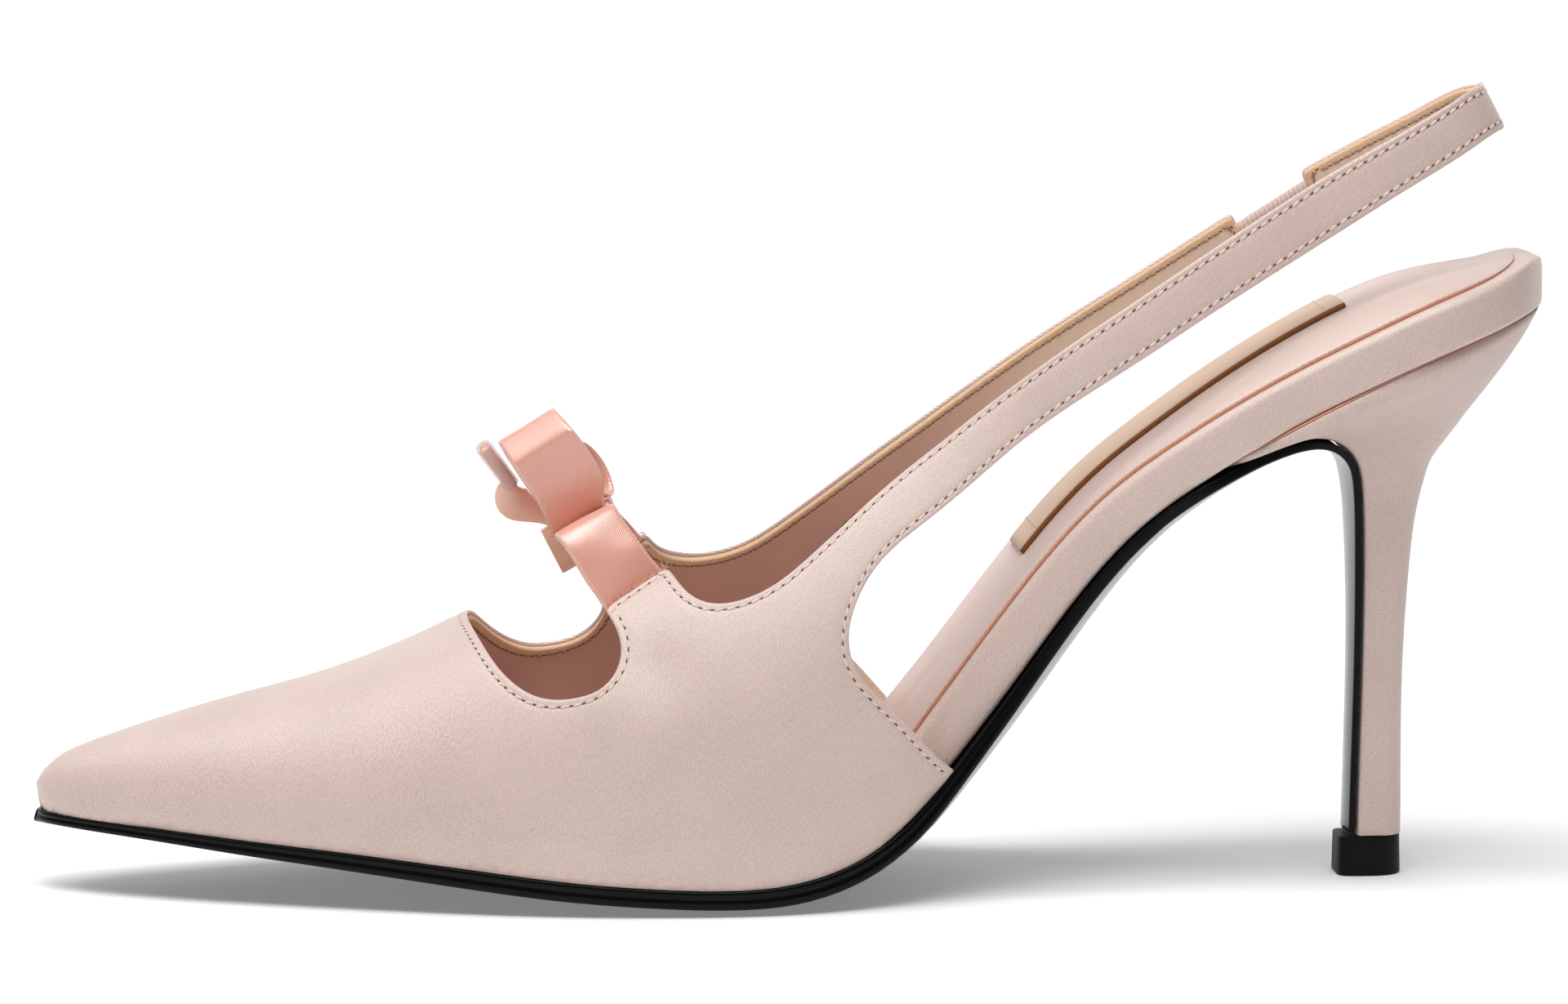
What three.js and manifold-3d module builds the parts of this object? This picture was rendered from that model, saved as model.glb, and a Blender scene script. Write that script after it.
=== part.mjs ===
// Pointed slingback pump on a stiletto heel. The vamp is cut out over the instep and tied with a ribbon bow.
// A left shoe. Millimetres. +X runs from toe to heel, +Y from the outer side to the inner side, +Z up.
// The origin is on the floor, midway between the toe tip and the back of the heel seat.
import * as THREE from 'three';
import { mergeVertices } from 'three/addons/utils/BufferGeometryUtils.js';
import Module from 'manifold-3d';

const wasm = await Module();
wasm.setup();

// Main sizes.
const TOE = -118.2;
const SEAT_BACK = 118.2;
const LOOP_END = 110.4;        // back of the sling strap at the middle of its width
const WALL = 1.8;              // satin, stiffener and lining of the upper together
const GLUE = 0.3;              // space left between curved pieces
const SOLE_LIP = 0.3;          // how far the sole edge stands out from the upper
const UPPER_LIFT = 0.2;        // height of the upper's lasted edge over the sole line
const QUARTER_END = 24;        // the upper leaves the sole here

// Line where sole and upper meet, and behind the quarters the underside of the insole board.
// height: above the floor. outer, inner: half widths of the sole there.
const BOTTOM = table(TOE, SEAT_BACK, ['x', 'height', 'outer', 'inner'], [
  [-118.2, 12.8, 0, 0],
  [-117.2, 12.7, 3.0, 3.0],
  [-114.2, 12.6, 6.2, 6.2],
  [-108, 12.2, 10.2, 10.2],
  [-98, 11.5, 15.4, 15.3],
  [-86, 10.5, 20.4, 20.5],
  [-73, 9.5, 25.2, 25.6],
  [-60, 8.3, 29.4, 30.1],
  [-48, 7.0, 32.6, 33.5],
  [-36, 5.7, 34.9, 35.6],
  [-24, 4.8, 36.0, 36.1],
  [-12, 4.4, 36.1, 34.6],
  [-2, 5.1, 34.8, 32.2],
  [6, 7.2, 32.4, 29.6],
  [12, 10.2, 30.0, 27.4],
  [18, 15.2, 27.6, 25.4],
  [24, 22.1, 25.3, 23.2],
  [30, 29.6, 23.4, 21.4],
  [36, 37.6, 22.0, 20.2],
  [42, 45.6, 21.2, 19.8],
  [48, 52.8, 21.0, 19.9],
  [54, 58.6, 21.1, 20.4],
  [60, 63.1, 21.6, 21.5],
  [68, 68.4, 22.6, 22.5],
  [78, 74.2, 23.8, 23.7],
  [88, 79.3, 24.8, 24.7],
  [98, 83.9, 24.6, 24.6],
  [106, 87.0, 22.2, 22.2],
  [112, 89.2, 17.6, 17.6],
  [116, 90.5, 10.8, 10.8],
  [118.2, 91.0, 0, 0],
]);

// Sections of the last behind the satin.
// outer, inner: largest half widths, at the height belly. crown: top of the section.
// full: squareness of the curve from belly to crown. lean: how far the section tips back, per mm of height.
const LAST = table(TOE, LOOP_END, ['x', 'outer', 'inner', 'belly', 'crown', 'full', 'lean'], [
  [-118.2, 0, 0, 14.0, 15.2, 2.0, 0],
  [-117.2, 3.3, 3.3, 14.6, 18.4, 2.0, 0],
  [-114.2, 6.8, 6.8, 15.0, 21.1, 2.0, 0],
  [-108, 11.0, 11.0, 15.4, 23.6, 2.05, 0],
  [-98, 16.4, 16.3, 15.6, 26.8, 2.1, 0],
  [-86, 21.6, 21.7, 15.6, 30.1, 2.15, 0],
  [-73, 26.7, 27.1, 15.4, 33.5, 2.2, 0],
  [-60, 31.2, 31.9, 15.2, 38.3, 2.3, 0],
  [-48, 34.6, 35.4, 15.0, 43.8, 2.4, 0],
  [-36, 37.0, 37.6, 15.2, 49.3, 2.45, 0],
  [-24, 38.2, 38.2, 15.8, 54.3, 2.45, 0],
  [-12, 38.2, 36.7, 16.8, 59.7, 2.45, 0],
  [0, 36.6, 34.2, 18.2, 65.4, 2.45, 0],
  [10, 33.4, 31.2, 21, 71.4, 2.45, 0],
  [20, 29.0, 27.6, 26, 78.8, 2.45, 0],
  [30, 24.0, 22.4, 36, 88, 2.45, 0.06],
  [40, 20.0, 18.2, 45, 97, 2.45, 0.16],
  [50, 17.6, 15.6, 52, 105, 2.45, 0.26],
  [62, 15.6, 13.8, 60, 113.5, 2.45, 0.36],
  [75, 14.0, 12.6, 67.5, 121.5, 2.45, 0.43],
  [88, 12.5, 11.6, 75, 129.5, 2.45, 0.48],
  [98, 10.4, 10.0, 80.5, 136, 2.45, 0.51],
  [104.5, 8.0, 8.0, 84.5, 140, 2.45, 0.53],
  [108.4, 5.0, 5.0, 86.5, 142.6, 2.45, 0.53],
  [110.4, 0, 0, 88, 144, 2.45, 0.53],
]);

// Below the sling strap the wall is cut away, so there the sections start only a little under it.
const STRAP_BASE = table(TOE, LOOP_END, ['x', 'height'], [
  [24, 22.1],
  [30, 38],
  [36, 51],
  [44, 64],
  [55, 75],
  [75, 90],
  [95, 102],
  [110.4, 110],
]);
const STRAP_AXIS = { x: 20, height: 64.8, rise: 0.633 };

// Edges of the upper seen from the side, front to back.
const CUT_OUT = [
  [-51.6, 47], [-51.0, 43.2], [-48.8, 39.8], [-45.4, 36.1], [-41, 33.8],
  [-36.2, 33.7], [-31.4, 35.3], [-28.6, 38.6], [-28.5, 42.6], [-30.3, 46.6],
];
const COLLAR = [
  [-20.8, 51.9], [-18.6, 48.7], [-13.6, 47.4], [-6, 49.7], [0.5, 54.3], [10, 62.2], [25, 73.7],
  [40.5, 84.8], [61, 97.9], [81.7, 111], [102.9, 122.4], [112, 127],
];
const REAR_EDGE = [
  [27, 16.3], [22.9, 20.8], [14.4, 30.2], [8.2, 36.8], [6.5, 42.2], [8.0, 48.2], [12.4, 54.4], [27.5, 65.7],
  [40.5, 75.7], [61.1, 88.4], [81.8, 101.1], [103, 113.3], [115, 120.4],
];
const ELASTIC = { from: 73.2, to: 84, rise: 1.2, halfHeight: 2.9, thick: 1.2, recess: 0.3, cut: 14 };

const WAIST_END = 61;          // behind this the sole runs free of the board, down the heel's breast

// Outsole: thickness of its edge and how far its middle bulges below the edge, along the shoe.
const SOLE = table(TOE, SEAT_BACK, ['x', 'edge', 'bulge'], [
  [-118.2, 1.8, 0.3],
  [-98, 2.1, 0.7],
  [-73, 2.7, 1.1],
  [-48, 3.1, 1.3],
  [-12, 3.1, 1.4],
  [6, 3.4, 2.0],
  [24, 3.0, 2.8],
  [45, 2.6, 2.8],
  [60, 2.2, 2.4],
]);
// From the waist the sole leaves the board, runs under the front of the heel and down its breast.
const BREAST = ['x', 'height', 'half', 'edge', 'bulge'];
const BREAST_ROWS = [
  [65.5, 66.0, 20.4, 1.9, 2.0],
  [71.3, 68.0, 17.2, 1.6, 1.5],
  [77.1, 69.5, 14.2, 1.4, 1.0],
  [81.8, 69.8, 11.8, 1.2, 0.6],
  [85.3, 68.6, 10.2, 1.1, 0.4],
  [87.6, 66.2, 9.0, 1.0, 0.35],
  [88.7, 62.8, 8.0, 1.0, 0.35],
  [89.3, 56, 6.6, 1.0, 0.35],
  [89.6, 44, 5.4, 1.0, 0.35],
  [89.5, 30, 4.7, 0.95, 0.35],
  [89.2, 16, 4.5, 0.95, 0.35],
  [89.0, 7.0, 4.5, 0.95, 0.35],
];

// Insole board, wrapped in satin: its thickness, and how far its side stands in from the sole edge.
const BOARD = table(TOE, SEAT_BACK, ['x', 'thick', 'inset'], [
  [-118.2, 2.4, 3.4],
  [-98, 2.4, 2.6],
  [-40, 2.6, 2.3],
  [-10, 3.6, 2.3],
  [14, 6.6, 2.3],
  [24, 7.4, 2.3],
  [34, 7.6, 1.1],
  [44, 7.3, 0.4],
  [80, 7.2, 0.3],
  [118.2, 7.6, 0.3],
]);
const BOARD_TIP = TOE + WALL + 2.4;
const SEAT_LEVELS = [92, 116];  // over this run the board's back end turns upright

// Padded sock on the board.
const SOCK = { inset: 2.3, edge: 0.8, from: -112, to: 113.8, round: 22, seat: 23 };
const SOCK_PAD = table(TOE, SEAT_BACK, ['x', 'dome'], [
  [-118.2, 0.3],
  [0, 0.4],
  [30, 0.5],
  [46, 0.9],
  [62, 1.4],
  [85, 1.7],
  [100, 1.5],
  [110, 0.8],
  [118.2, 0.3],
]);
const LABEL = { from: 43.5, to: 91, half: 8, thick: 0.9 };

// Heel, seat to top piece. Each row is one slanted section: its front and back ends, half width, and
// how square its front corners are.
const HEEL = ['frontX', 'frontZ', 'backX', 'backZ', 'half', 'square'];
const HEEL_ROWS = [
  [63.6, 65.2, 117.7, 90.5, 24.2, 3.6],
  [66.6, 66.6, 116.0, 87.2, 22.4, 3.5],
  [71.3, 68.4, 113.4, 82.9, 19.4, 3.3],
  [77.0, 69.9, 109.9, 78.0, 15.8, 3.1],
  [81.8, 70.2, 106.4, 73.4, 12.8, 3.0],
  [85.5, 69.0, 103.4, 69.4, 10.8, 3.0],
  [87.9, 66.5, 101.0, 66.0, 9.3, 3.0],
  [89.0, 62.8, 99.7, 62.0, 8.2, 3.0],
  [89.6, 56, 98.4, 55.6, 6.9, 3.0],
  [89.9, 44, 97.4, 44, 5.6, 3.0],
  [89.8, 30, 96.8, 30, 5.0, 3.0],
  [89.5, 16, 96.8, 16, 4.8, 3.0],
  [89.3, 6.8, 96.8, 6.8, 4.8, 3.0],
];
const TIP = { height: 6.4, frontX: 85.9, backX: 96.8, half: 4.9, taper: 0.3 };

// Ribbon bow. Its own axes at the knot: w along the slope of the instep, n up out of it.
const KNOT = new THREE.Vector3(-33.5, 0, 58);
const SLOPE = THREE.MathUtils.degToRad(31.5);
const RIBBON_THICK = 0.7;
const RIBBON = ['w', 'y', 'n', 'acrossW', 'acrossY', 'acrossN', 'width'];
const BAND_ROWS = [
  [2.2, 20.6, -10.8, 0.91, -0.41, 0, 11.0],
  [1.3, 15.2, -6.0, 0.96, -0.27, 0, 10.4],
  [0.5, 9.4, -2.5, 0.99, -0.12, 0, 9.9],
  [0, 3.1, -0.6, 1, 0, 0, 9.4],
];
const LOOP_OUTER_ROWS = [
  [0, -3.1, 1.1, 1, 0, 0, 8.8],
  [0, -5.6, 0.7, 1, 0, 0, 9.6],
  [0, -8.0, 3.2, 1, 0, 0, 9.8],
  [0.5, -10.2, 8.4, 1, 0, 0, 10.6],
  [1.0, -10.0, 13.6, 1, 0, 0, 11.4],
  [1.2, -8.2, 17.0, 1, 0, 0, 11.6],
  [1.2, -5.8, 17.5, 1, 0, 0, 11.6],
  [0.9, -3.8, 14.8, 1, 0, 0, 11.0],
  [0.4, -2.6, 9.6, 1, 0, 0, 10.0],
  [0, -2.0, 4.6, 1, 0, 0, 8.8],
];
const LOOP_INNER_ROWS = [
  [0.3, 3.1, 1.1, 1, 0, 0, 8.8],
  [1.2, 5.6, 0.6, 1, 0, 0, 9.6],
  [2.6, 8.2, 1.8, 1, 0, 0, 9.8],
  [4.0, 10.0, 4.4, 1, 0, 0, 9.8],
  [4.8, 9.6, 7.4, 1, 0, 0, 9.8],
  [4.9, 7.6, 9.6, 1, 0, 0, 9.8],
  [4.2, 5.2, 9.9, 1, 0, 0, 9.8],
  [2.6, 3.5, 8.0, 1, 0, 0, 9.6],
  [0.9, 2.4, 4.7, 1, 0, 0, 8.8],
];
const TAIL_OUTER_ROWS = [
  [-5.0, -0.4, 0.4, 0.1, -0.5, 0.86, 4.4],
  [-7.0, -0.8, 2.8, -0.45, -0.5, 0.74, 6.2],
  [-8.6, -1.4, 6.4, -0.75, -0.55, 0.36, 6.4],
  [-7.9, -2.4, 9.5, -0.9, -0.42, 0.1, 4.6],
  [-6.8, -3.3, 11.6, -1, 0, 0, 2.2],
];
const TAIL_INNER_ROWS = [
  [-2.6, 2.0, -2.2, 1, 0, 0, 7.2],
  [-3.4, 3.2, -4.4, 0.98, 0, 0.1, 8.0],
  [-3.8, 4.2, -7.0, 0.97, 0, 0.2, 8.2],
];
// The knot's wrap: half width, half height, height of its middle, and its size along the slope.
const KNOT_BODY = { half: 2.5, high: 2.3, rise: 1.1, square: 0.7 };
const KNOT_ROWS = [[-4.4, 0.8], [-3.9, 1], [0, 1.06], [3.9, 1], [4.4, 0.8]];
const AGLET = { from: [-6.6, -3.8, 12.4], to: [-7.2, -7.4, 18.2], radius: 1.35 };

// Curves

// Angle that runs evenly from 0 to pi between two ends, so a shape that closes there closes round.
function roundEnded(start, end, x) {
  const share = THREE.MathUtils.clamp((x - start) / (end - start), 0, 1);
  return Math.acos(1 - 2 * share);
}

// Places between two ends, packed more closely towards both.
function stations(start, end, count) {
  const places = [];
  for (let i = 0; i <= count; i++) {
    places.push(start + (end - start) * (1 - Math.cos(Math.PI * i / count)) / 2);
  }
  return places;
}

// Smooth curve through the points (us, vs).
function smooth(us, vs) {
  const last = us.length - 1;
  const slopes = [];
  for (let i = 0; i < last; i++) slopes.push((vs[i + 1] - vs[i]) / (us[i + 1] - us[i]));
  const tangents = us.map((u, i) => {
    if (i === 0) return slopes[0];
    if (i === last) return slopes[last - 1];
    const before = us[i] - us[i - 1];
    const after = us[i + 1] - us[i];
    return (after * slopes[i - 1] + before * slopes[i]) / (before + after);
  });
  return (u) => {
    let i = 0;
    while (i < last - 1 && u > us[i + 1]) i++;
    const span = us[i + 1] - us[i];
    const t = THREE.MathUtils.clamp((u - us[i]) / span, 0, 1);
    const t2 = t * t;
    const t3 = t2 * t;
    return (2 * t3 - 3 * t2 + 1) * vs[i] + (t3 - 2 * t2 + t) * span * tangents[i]
      + (3 * t2 - 2 * t3) * vs[i + 1] + (t3 - t2) * span * tangents[i + 1];
  };
}

// Each column of the rows as a smooth function of the first one.
function table(start, end, names, rows) {
  const us = rows.map((row) => roundEnded(start, end, row[0]));
  const columns = {};
  names.slice(1).forEach((name, k) => {
    const curve = smooth(us, rows.map((row) => row[k + 1]));
    columns[name] = (x) => curve(roundEnded(start, end, x));
  });
  return columns;
}

// Rows filled in smoothly, each step between two rows cut into the given number of parts.
function fill(names, rows, parts) {
  const us = rows.map((row, i) => i);
  const curves = names.map((name, k) => smooth(us, rows.map((row) => row[k])));
  const filled = [];
  for (let i = 0; i <= (rows.length - 1) * parts; i++) {
    const entry = {};
    names.forEach((name, k) => { entry[name] = curves[k](i / parts); });
    filled.push(entry);
  }
  return filled;
}

// Solids

function geometryOf(points, triangles) {
  const geometry = new THREE.BufferGeometry();
  const numbers = points.flatMap((p) => [p.x, p.y, p.z]);
  geometry.setAttribute('position', new THREE.Float32BufferAttribute(numbers, 3));
  geometry.setIndex(triangles.flat());
  return geometry;
}

function solidOf(geometry) {
  const bare = new THREE.BufferGeometry();
  bare.setAttribute('position', geometry.getAttribute('position'));
  if (geometry.index) bare.setIndex(geometry.index);
  const merged = mergeVertices(bare, 1e-4);
  const index = merged.index.array;
  const kept = [];
  for (let i = 0; i < index.length; i += 3) {
    const [a, b, c] = [index[i], index[i + 1], index[i + 2]];
    if (a !== b && b !== c && a !== c) kept.push(a, b, c);
  }
  return new wasm.Manifold(new wasm.Mesh({
    numProp: 3,
    vertProperties: merged.attributes.position.array,
    triVerts: new Uint32Array(kept),
  }));
}

function geometryOfSolid(solid) {
  const mesh = solid.getMesh();
  const geometry = new THREE.BufferGeometry();
  geometry.setAttribute('position', new THREE.Float32BufferAttribute(mesh.vertProperties, 3));
  geometry.setIndex(Array.from(mesh.triVerts));
  return geometry;
}

// Skin over closed rings of equal length. Capped ends are closed by a zigzag across the ring.
function loft(rings, capped = true) {
  const count = rings[0].length;
  const triangles = [];
  for (let i = 0; i < rings.length - 1; i++) {
    for (let j = 0; j < count; j++) {
      const k = (j + 1) % count;
      const [a, b, c, d] = [i * count + j, i * count + k, (i + 1) * count + k, (i + 1) * count + j];
      triangles.push([a, b, c], [a, c, d]);
    }
  }
  if (capped) {
    const zigzag = (offset, turned) => {
      let low = 0;
      let high = count - 1;
      while (high - low > 1) {
        const face = [offset + low, offset + high, offset + low + 1];
        triangles.push(turned ? [face[0], face[2], face[1]] : face);
        low += 1;
        if (high - low <= 1) break;
        const next = [offset + low, offset + high, offset + high - 1];
        triangles.push(turned ? [next[0], next[2], next[1]] : next);
        high -= 1;
      }
    };
    zigzag(0, false);
    zigzag((rings.length - 1) * count, true);
  }
  const points = rings.flat();
  let volume = 0;
  for (const [a, b, c] of triangles) volume += points[a].dot(points[b].clone().cross(points[c]));
  if (volume < 0) for (const face of triangles) face.reverse();
  return geometryOf(points, triangles);
}

// Block with the given outline seen from the side, from y = near to y = far.
function sideBlock(shape, near, far) {
  const block = new THREE.ExtrudeGeometry(shape, { depth: far - near, bevelEnabled: false, curveSegments: 1 });
  block.rotateX(Math.PI / 2);
  block.translate(0, far, 0);
  return solidOf(block);
}

// Points along a curve through the given ones, each step cut into parts.
function along(points, parts) {
  const through = points.map(([x, z]) => new THREE.Vector3(x, 0, z));
  const curve = new THREE.CatmullRomCurve3(through, false, 'centripetal');
  return curve.getPoints((points.length - 1) * parts).map((p) => new THREE.Vector2(p.x, p.z));
}

// Upper

const ROUND = 16;        // steps from the sole line to the crown on one side
const LOWER = 3;         // of these, steps below the widest point
const LENGTHWAYS = 44;

function strapAxis(x) {
  return STRAP_AXIS.height + STRAP_AXIS.rise * (x - STRAP_AXIS.x);
}

// Half width of the last's section at a height above its widest point.
function halfWidth(x, height, side) {
  const widest = side < 0 ? LAST.outer(x) : LAST.inner(x);
  const up = (height - LAST.belly(x)) / (LAST.crown(x) - LAST.belly(x));
  return widest * Math.pow(1 - Math.pow(up, LAST.full(x)), 1 / LAST.full(x));
}

// Point of the upper's outside. turn runs from 0 at the outer sole line over the crown to 1 at the inner one.
function lastPoint(angle, turn) {
  const x = TOE + (LOOP_END - TOE) * (1 - Math.cos(angle)) / 2;
  const side = turn < 0.5 ? -1 : 1;
  const share = (turn < 0.5 ? turn : 1 - turn) * 2;
  const widest = side < 0 ? LAST.outer(x) : LAST.inner(x);
  const behind = x > QUARTER_END;
  const baseWidth = behind ? widest : Math.min(widest, side < 0 ? BOTTOM.outer(x) : BOTTOM.inner(x));
  const baseHeight = behind ? STRAP_BASE.height(x) : BOTTOM.height(x) + UPPER_LIFT;
  const belly = Math.max(LAST.belly(x), baseHeight);
  const step = LOWER / ROUND;
  let width;
  let height;
  if (share <= step) {
    const t = share / step;
    width = baseWidth + (widest - baseWidth) * Math.sin(t * Math.PI / 2);
    height = baseHeight + (belly - baseHeight) * t;
  } else {
    const t = (share - step) / (1 - step) * Math.PI / 2;
    const power = 2 / LAST.full(x);
    width = widest * Math.pow(Math.max(0, Math.cos(t)), power);
    height = belly + (LAST.crown(x) - belly) * Math.pow(Math.sin(t), power);
  }
  return new THREE.Vector3(x - LAST.lean(x) * (height - strapAxis(x)), side * width, height);
}

function lastNormal(angle, turn) {
  const d = 1e-3;
  const ahead = lastPoint(Math.min(Math.PI, angle + d), turn);
  const forward = ahead.sub(lastPoint(Math.max(0, angle - d), turn));
  const onwards = lastPoint(angle, Math.min(1, turn + d));
  const around = onwards.sub(lastPoint(angle, Math.max(0, turn - d)));
  const normal = forward.cross(around);
  if (normal.length() < 1e-12) return new THREE.Vector3(angle < 1 ? -1 : 1, 0, 0);
  return normal.normalize();
}

function makeUpper() {
  const rings = [];
  for (let i = 0; i <= LENGTHWAYS; i++) {
    const angle = Math.PI * i / LENGTHWAYS;
    const outside = [];
    const inside = [];
    for (let j = 0; j <= 2 * ROUND; j++) {
      const closing = i === 0 || i === LENGTHWAYS;
      const turn = (closing ? Math.min(j, 2 * ROUND - j) : j) / (2 * ROUND);
      const point = lastPoint(angle, turn);
      const within = point.clone().addScaledVector(lastNormal(angle, turn), -WALL);
      outside.push(closing ? point.setY(0) : point);
      inside.push(closing ? within.setY(0) : within);
    }
    rings.push([...outside, ...inside.reverse()]);
  }
  let upper = solidOf(loft(rings, false));

  const open = new THREE.Shape([
    ...along(CUT_OUT, 4),
    ...along(COLLAR, 4),
    new THREE.Vector2(118, 170),
    new THREE.Vector2(-51.6, 170),
  ]);
  upper = upper.subtract(sideBlock(open, -60, 60));

  const below = new THREE.Shape([
    ...along(REAR_EDGE, 4),
    new THREE.Vector2(130, 110),
    new THREE.Vector2(130, -20),
    new THREE.Vector2(27, -20),
  ]);
  upper = upper.subtract(sideBlock(below, -60, 60));

  const across = (x, rise) => new THREE.Vector2(x - LAST.lean(x) * rise, strapAxis(x) + rise);
  const gap = new THREE.Shape([
    across(ELASTIC.from, -ELASTIC.cut),
    across(ELASTIC.to, -ELASTIC.cut),
    across(ELASTIC.to, ELASTIC.cut),
    across(ELASTIC.from, ELASTIC.cut),
  ]);
  return geometryOfSolid(upper.subtract(sideBlock(gap, 0, 40)));
}

function makeElastic() {
  const rings = [];
  for (const k of [0, 1, 2, 3, 4]) {
    const x = THREE.MathUtils.lerp(ELASTIC.from + GLUE, ELASTIC.to - GLUE, k / 4);
    const middle = strapAxis(x) + ELASTIC.rise;
    const faces = [ELASTIC.recess, ELASTIC.recess + ELASTIC.thick].map((inset) => [-1, 0, 1].map((k) => {
      const height = middle + k * ELASTIC.halfHeight;
      const tipped = x - LAST.lean(x) * (height - strapAxis(x));
      return new THREE.Vector3(tipped, halfWidth(x, height, 1) - inset, height);
    }));
    rings.push([...faces[0], ...faces[1].reverse()]);
  }
  return loft(rings);
}

// Bottom

const ALONG_SOLE = stations(TOE, SEAT_BACK, 54);

// Forward and upward directions of a line in the side view, at one of its points.
function frameAt(line, i) {
  const before = line[Math.max(0, i - 1)];
  const after = line[Math.min(line.length - 1, i + 1)];
  const forward = new THREE.Vector3(after.x - before.x, 0, after.z - before.z).normalize();
  return { forward, up: new THREE.Vector3(-forward.z, 0, forward.x) };
}

function makeOutsole() {
  const rows = ALONG_SOLE.filter((x) => x > TOE && x < WAIST_END).map((x) => ({
    x, z: BOTTOM.height(x), outer: BOTTOM.outer(x) + SOLE_LIP, inner: BOTTOM.inner(x) + SOLE_LIP,
    edge: SOLE.edge(x), bulge: SOLE.bulge(x),
  }));
  rows.unshift({ ...rows[0], x: TOE, z: BOTTOM.height(TOE), outer: 0.5, inner: 0.5 });
  fill(BREAST, BREAST_ROWS, 2).forEach((r) => rows.push({
    x: r.x, z: r.height, outer: r.half, inner: r.half, edge: r.edge, bulge: r.bulge,
  }));
  const rings = rows.map((row, i) => {
    const { up } = frameAt(rows, i);
    const at = (y, depth) => {
      const p = new THREE.Vector3(row.x, y, row.z).addScaledVector(up, -GLUE - depth);
      p.z = Math.max(0, p.z);
      return p;
    };
    const half = (width, sign) => {
      const chamfer = Math.min(0.7, width / 3);
      const floor = [0.95, 0.7, 0.4].map((t) => {
        const y = (width - chamfer) * t;
        return at(sign * y, row.edge + row.bulge * (1 - t * t));
      });
      const bead = Math.min(0.25, width / 4);
      return [
        at(sign * (width - bead), 0),
        at(sign * width, 0.3 * row.edge),
        at(sign * (width - bead), 0.55 * row.edge),
        at(sign * (width - 0.6 * chamfer), 0.85 * row.edge),
        ...floor,
      ];
    };
    return [...half(row.outer, -1), at(0, row.edge + row.bulge), ...half(row.inner, 1).reverse()];
  });
  return loft(rings);
}

// Insole board: side half width, underside and top of the rim at a place along the shoe.
function boardAt(x) {
  const slope = (BOTTOM.height(x + 0.5) - BOTTOM.height(x - 0.5));
  const level = THREE.MathUtils.smoothstep(x, ...SEAT_LEVELS);
  const up = new THREE.Vector3(-slope, 0, 1).normalize().lerp(new THREE.Vector3(0, 0, 1), level).normalize();
  const base = new THREE.Vector3(x, 0, BOTTOM.height(x));
  return {
    outer: Math.max(0.4, BOTTOM.outer(x) - BOARD.inset(x)),
    inner: Math.max(0.4, BOTTOM.inner(x) - BOARD.inset(x)),
    thick: BOARD.thick(x) / Math.max(0.6, THREE.MathUtils.lerp(1, up.z, level)),
    up,
    base,
  };
}

function makeBoard() {
  const rings = ALONG_SOLE.filter((x) => x > BOARD_TIP && x < SEAT_BACK).map((x) => {
    const board = boardAt(x);
    const at = (y, rise) => board.base.clone().addScaledVector(board.up, rise).setY(y);
    const half = (width, sign) => {
      const corner = Math.min(1.4, width / 2, board.thick / 3);
      return [
        at(sign * (width - corner), 0),
        at(sign * (width - 0.25 * corner), 0.35 * corner),
        at(sign * width, 1.1 * corner),
        at(sign * width, board.thick - 1.2 * corner),
        at(sign * (width - 0.3 * corner), board.thick - 0.3 * corner),
        at(sign * (width - 1.2 * corner), board.thick),
      ];
    };
    return [...half(board.outer, -1), ...half(board.inner, 1).reverse()];
  });
  return loft(rings);
}

// Height of the sock's top over the board's top, at a share of its half width.
function padRise(x, share) {
  return SOCK.edge + SOCK_PAD.dome(x) * (1 - Math.pow(Math.abs(share), 2.4));
}

function makeSock() {
  const rings = [...ALONG_SOLE.filter((x) => x > SOCK.from && x < SOCK.to), SOCK.to].map((x) => {
    const board = boardAt(x);
    const heelward = THREE.MathUtils.clamp((x - SOCK.to + SOCK.round) / SOCK.round, 0, 1);
    const close = Math.sqrt(1 - heelward * heelward);
    const at = (y, rise) => board.base.clone().addScaledVector(board.up, board.thick + GLUE + rise).setY(y);
    const half = (width, sign) => [1, 0.8, 0.45].map((t) => at(sign * width * t, padRise(x, t)));
    const widths = [board.outer, board.inner].map((w) => {
      const narrow = Math.min(w - SOCK.inset, SOCK.seat * close);
      return Math.max(0.4, narrow);
    });
    return [
      at(-widths[0], 0), ...half(widths[0], -1), at(0, padRise(x, 0)),
      ...half(widths[1], 1).reverse(), at(widths[1], 0),
    ];
  });
  return loft(rings);
}

function makeLabel() {
  const rings = [];
  for (let i = 0; i <= 16; i++) {
    const x = THREE.MathUtils.lerp(LABEL.from, LABEL.to, i / 16);
    const board = boardAt(x);
    const at = (y, rise) => {
      const share = y / ((y < 0 ? board.outer : board.inner) - SOCK.inset);
      const over = board.thick + 2 * GLUE + padRise(x, share) + rise;
      return board.base.clone().addScaledVector(board.up, over).setY(y);
    };
    const across = [-1, -0.5, 0, 0.5, 1].map((k) => k * LABEL.half);
    rings.push([...across.map((y) => at(y, LABEL.thick)), ...across.reverse().map((y) => at(y, 0))]);
  }
  return loft(rings);
}

// Heel

function heelRing(row, seat) {
  const front = new THREE.Vector3(row.frontX, 0, row.frontZ);
  const back = new THREE.Vector3(row.backX, 0, row.backZ);
  const middle = front.clone().lerp(back, 0.5);
  const ring = [];
  const count = 24;
  for (let k = 0; k < count; k++) {
    const angle = 2 * Math.PI * k / count;
    const lengthways = -Math.cos(angle);
    const power = lengthways < 0 ? 2 / row.square : 2 / 2.1;
    const share = Math.sign(lengthways) * Math.pow(Math.abs(lengthways), power);
    const width = Math.sign(Math.sin(angle)) * Math.pow(Math.abs(Math.sin(angle)), power) * row.half;
    const p = middle.clone().lerp(share < 0 ? front : back, Math.abs(share)).setY(width);
    if (seat) p.z = BOTTOM.height(p.x) - 1.25 * GLUE;
    ring.push(p);
  }
  return ring;
}

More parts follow.
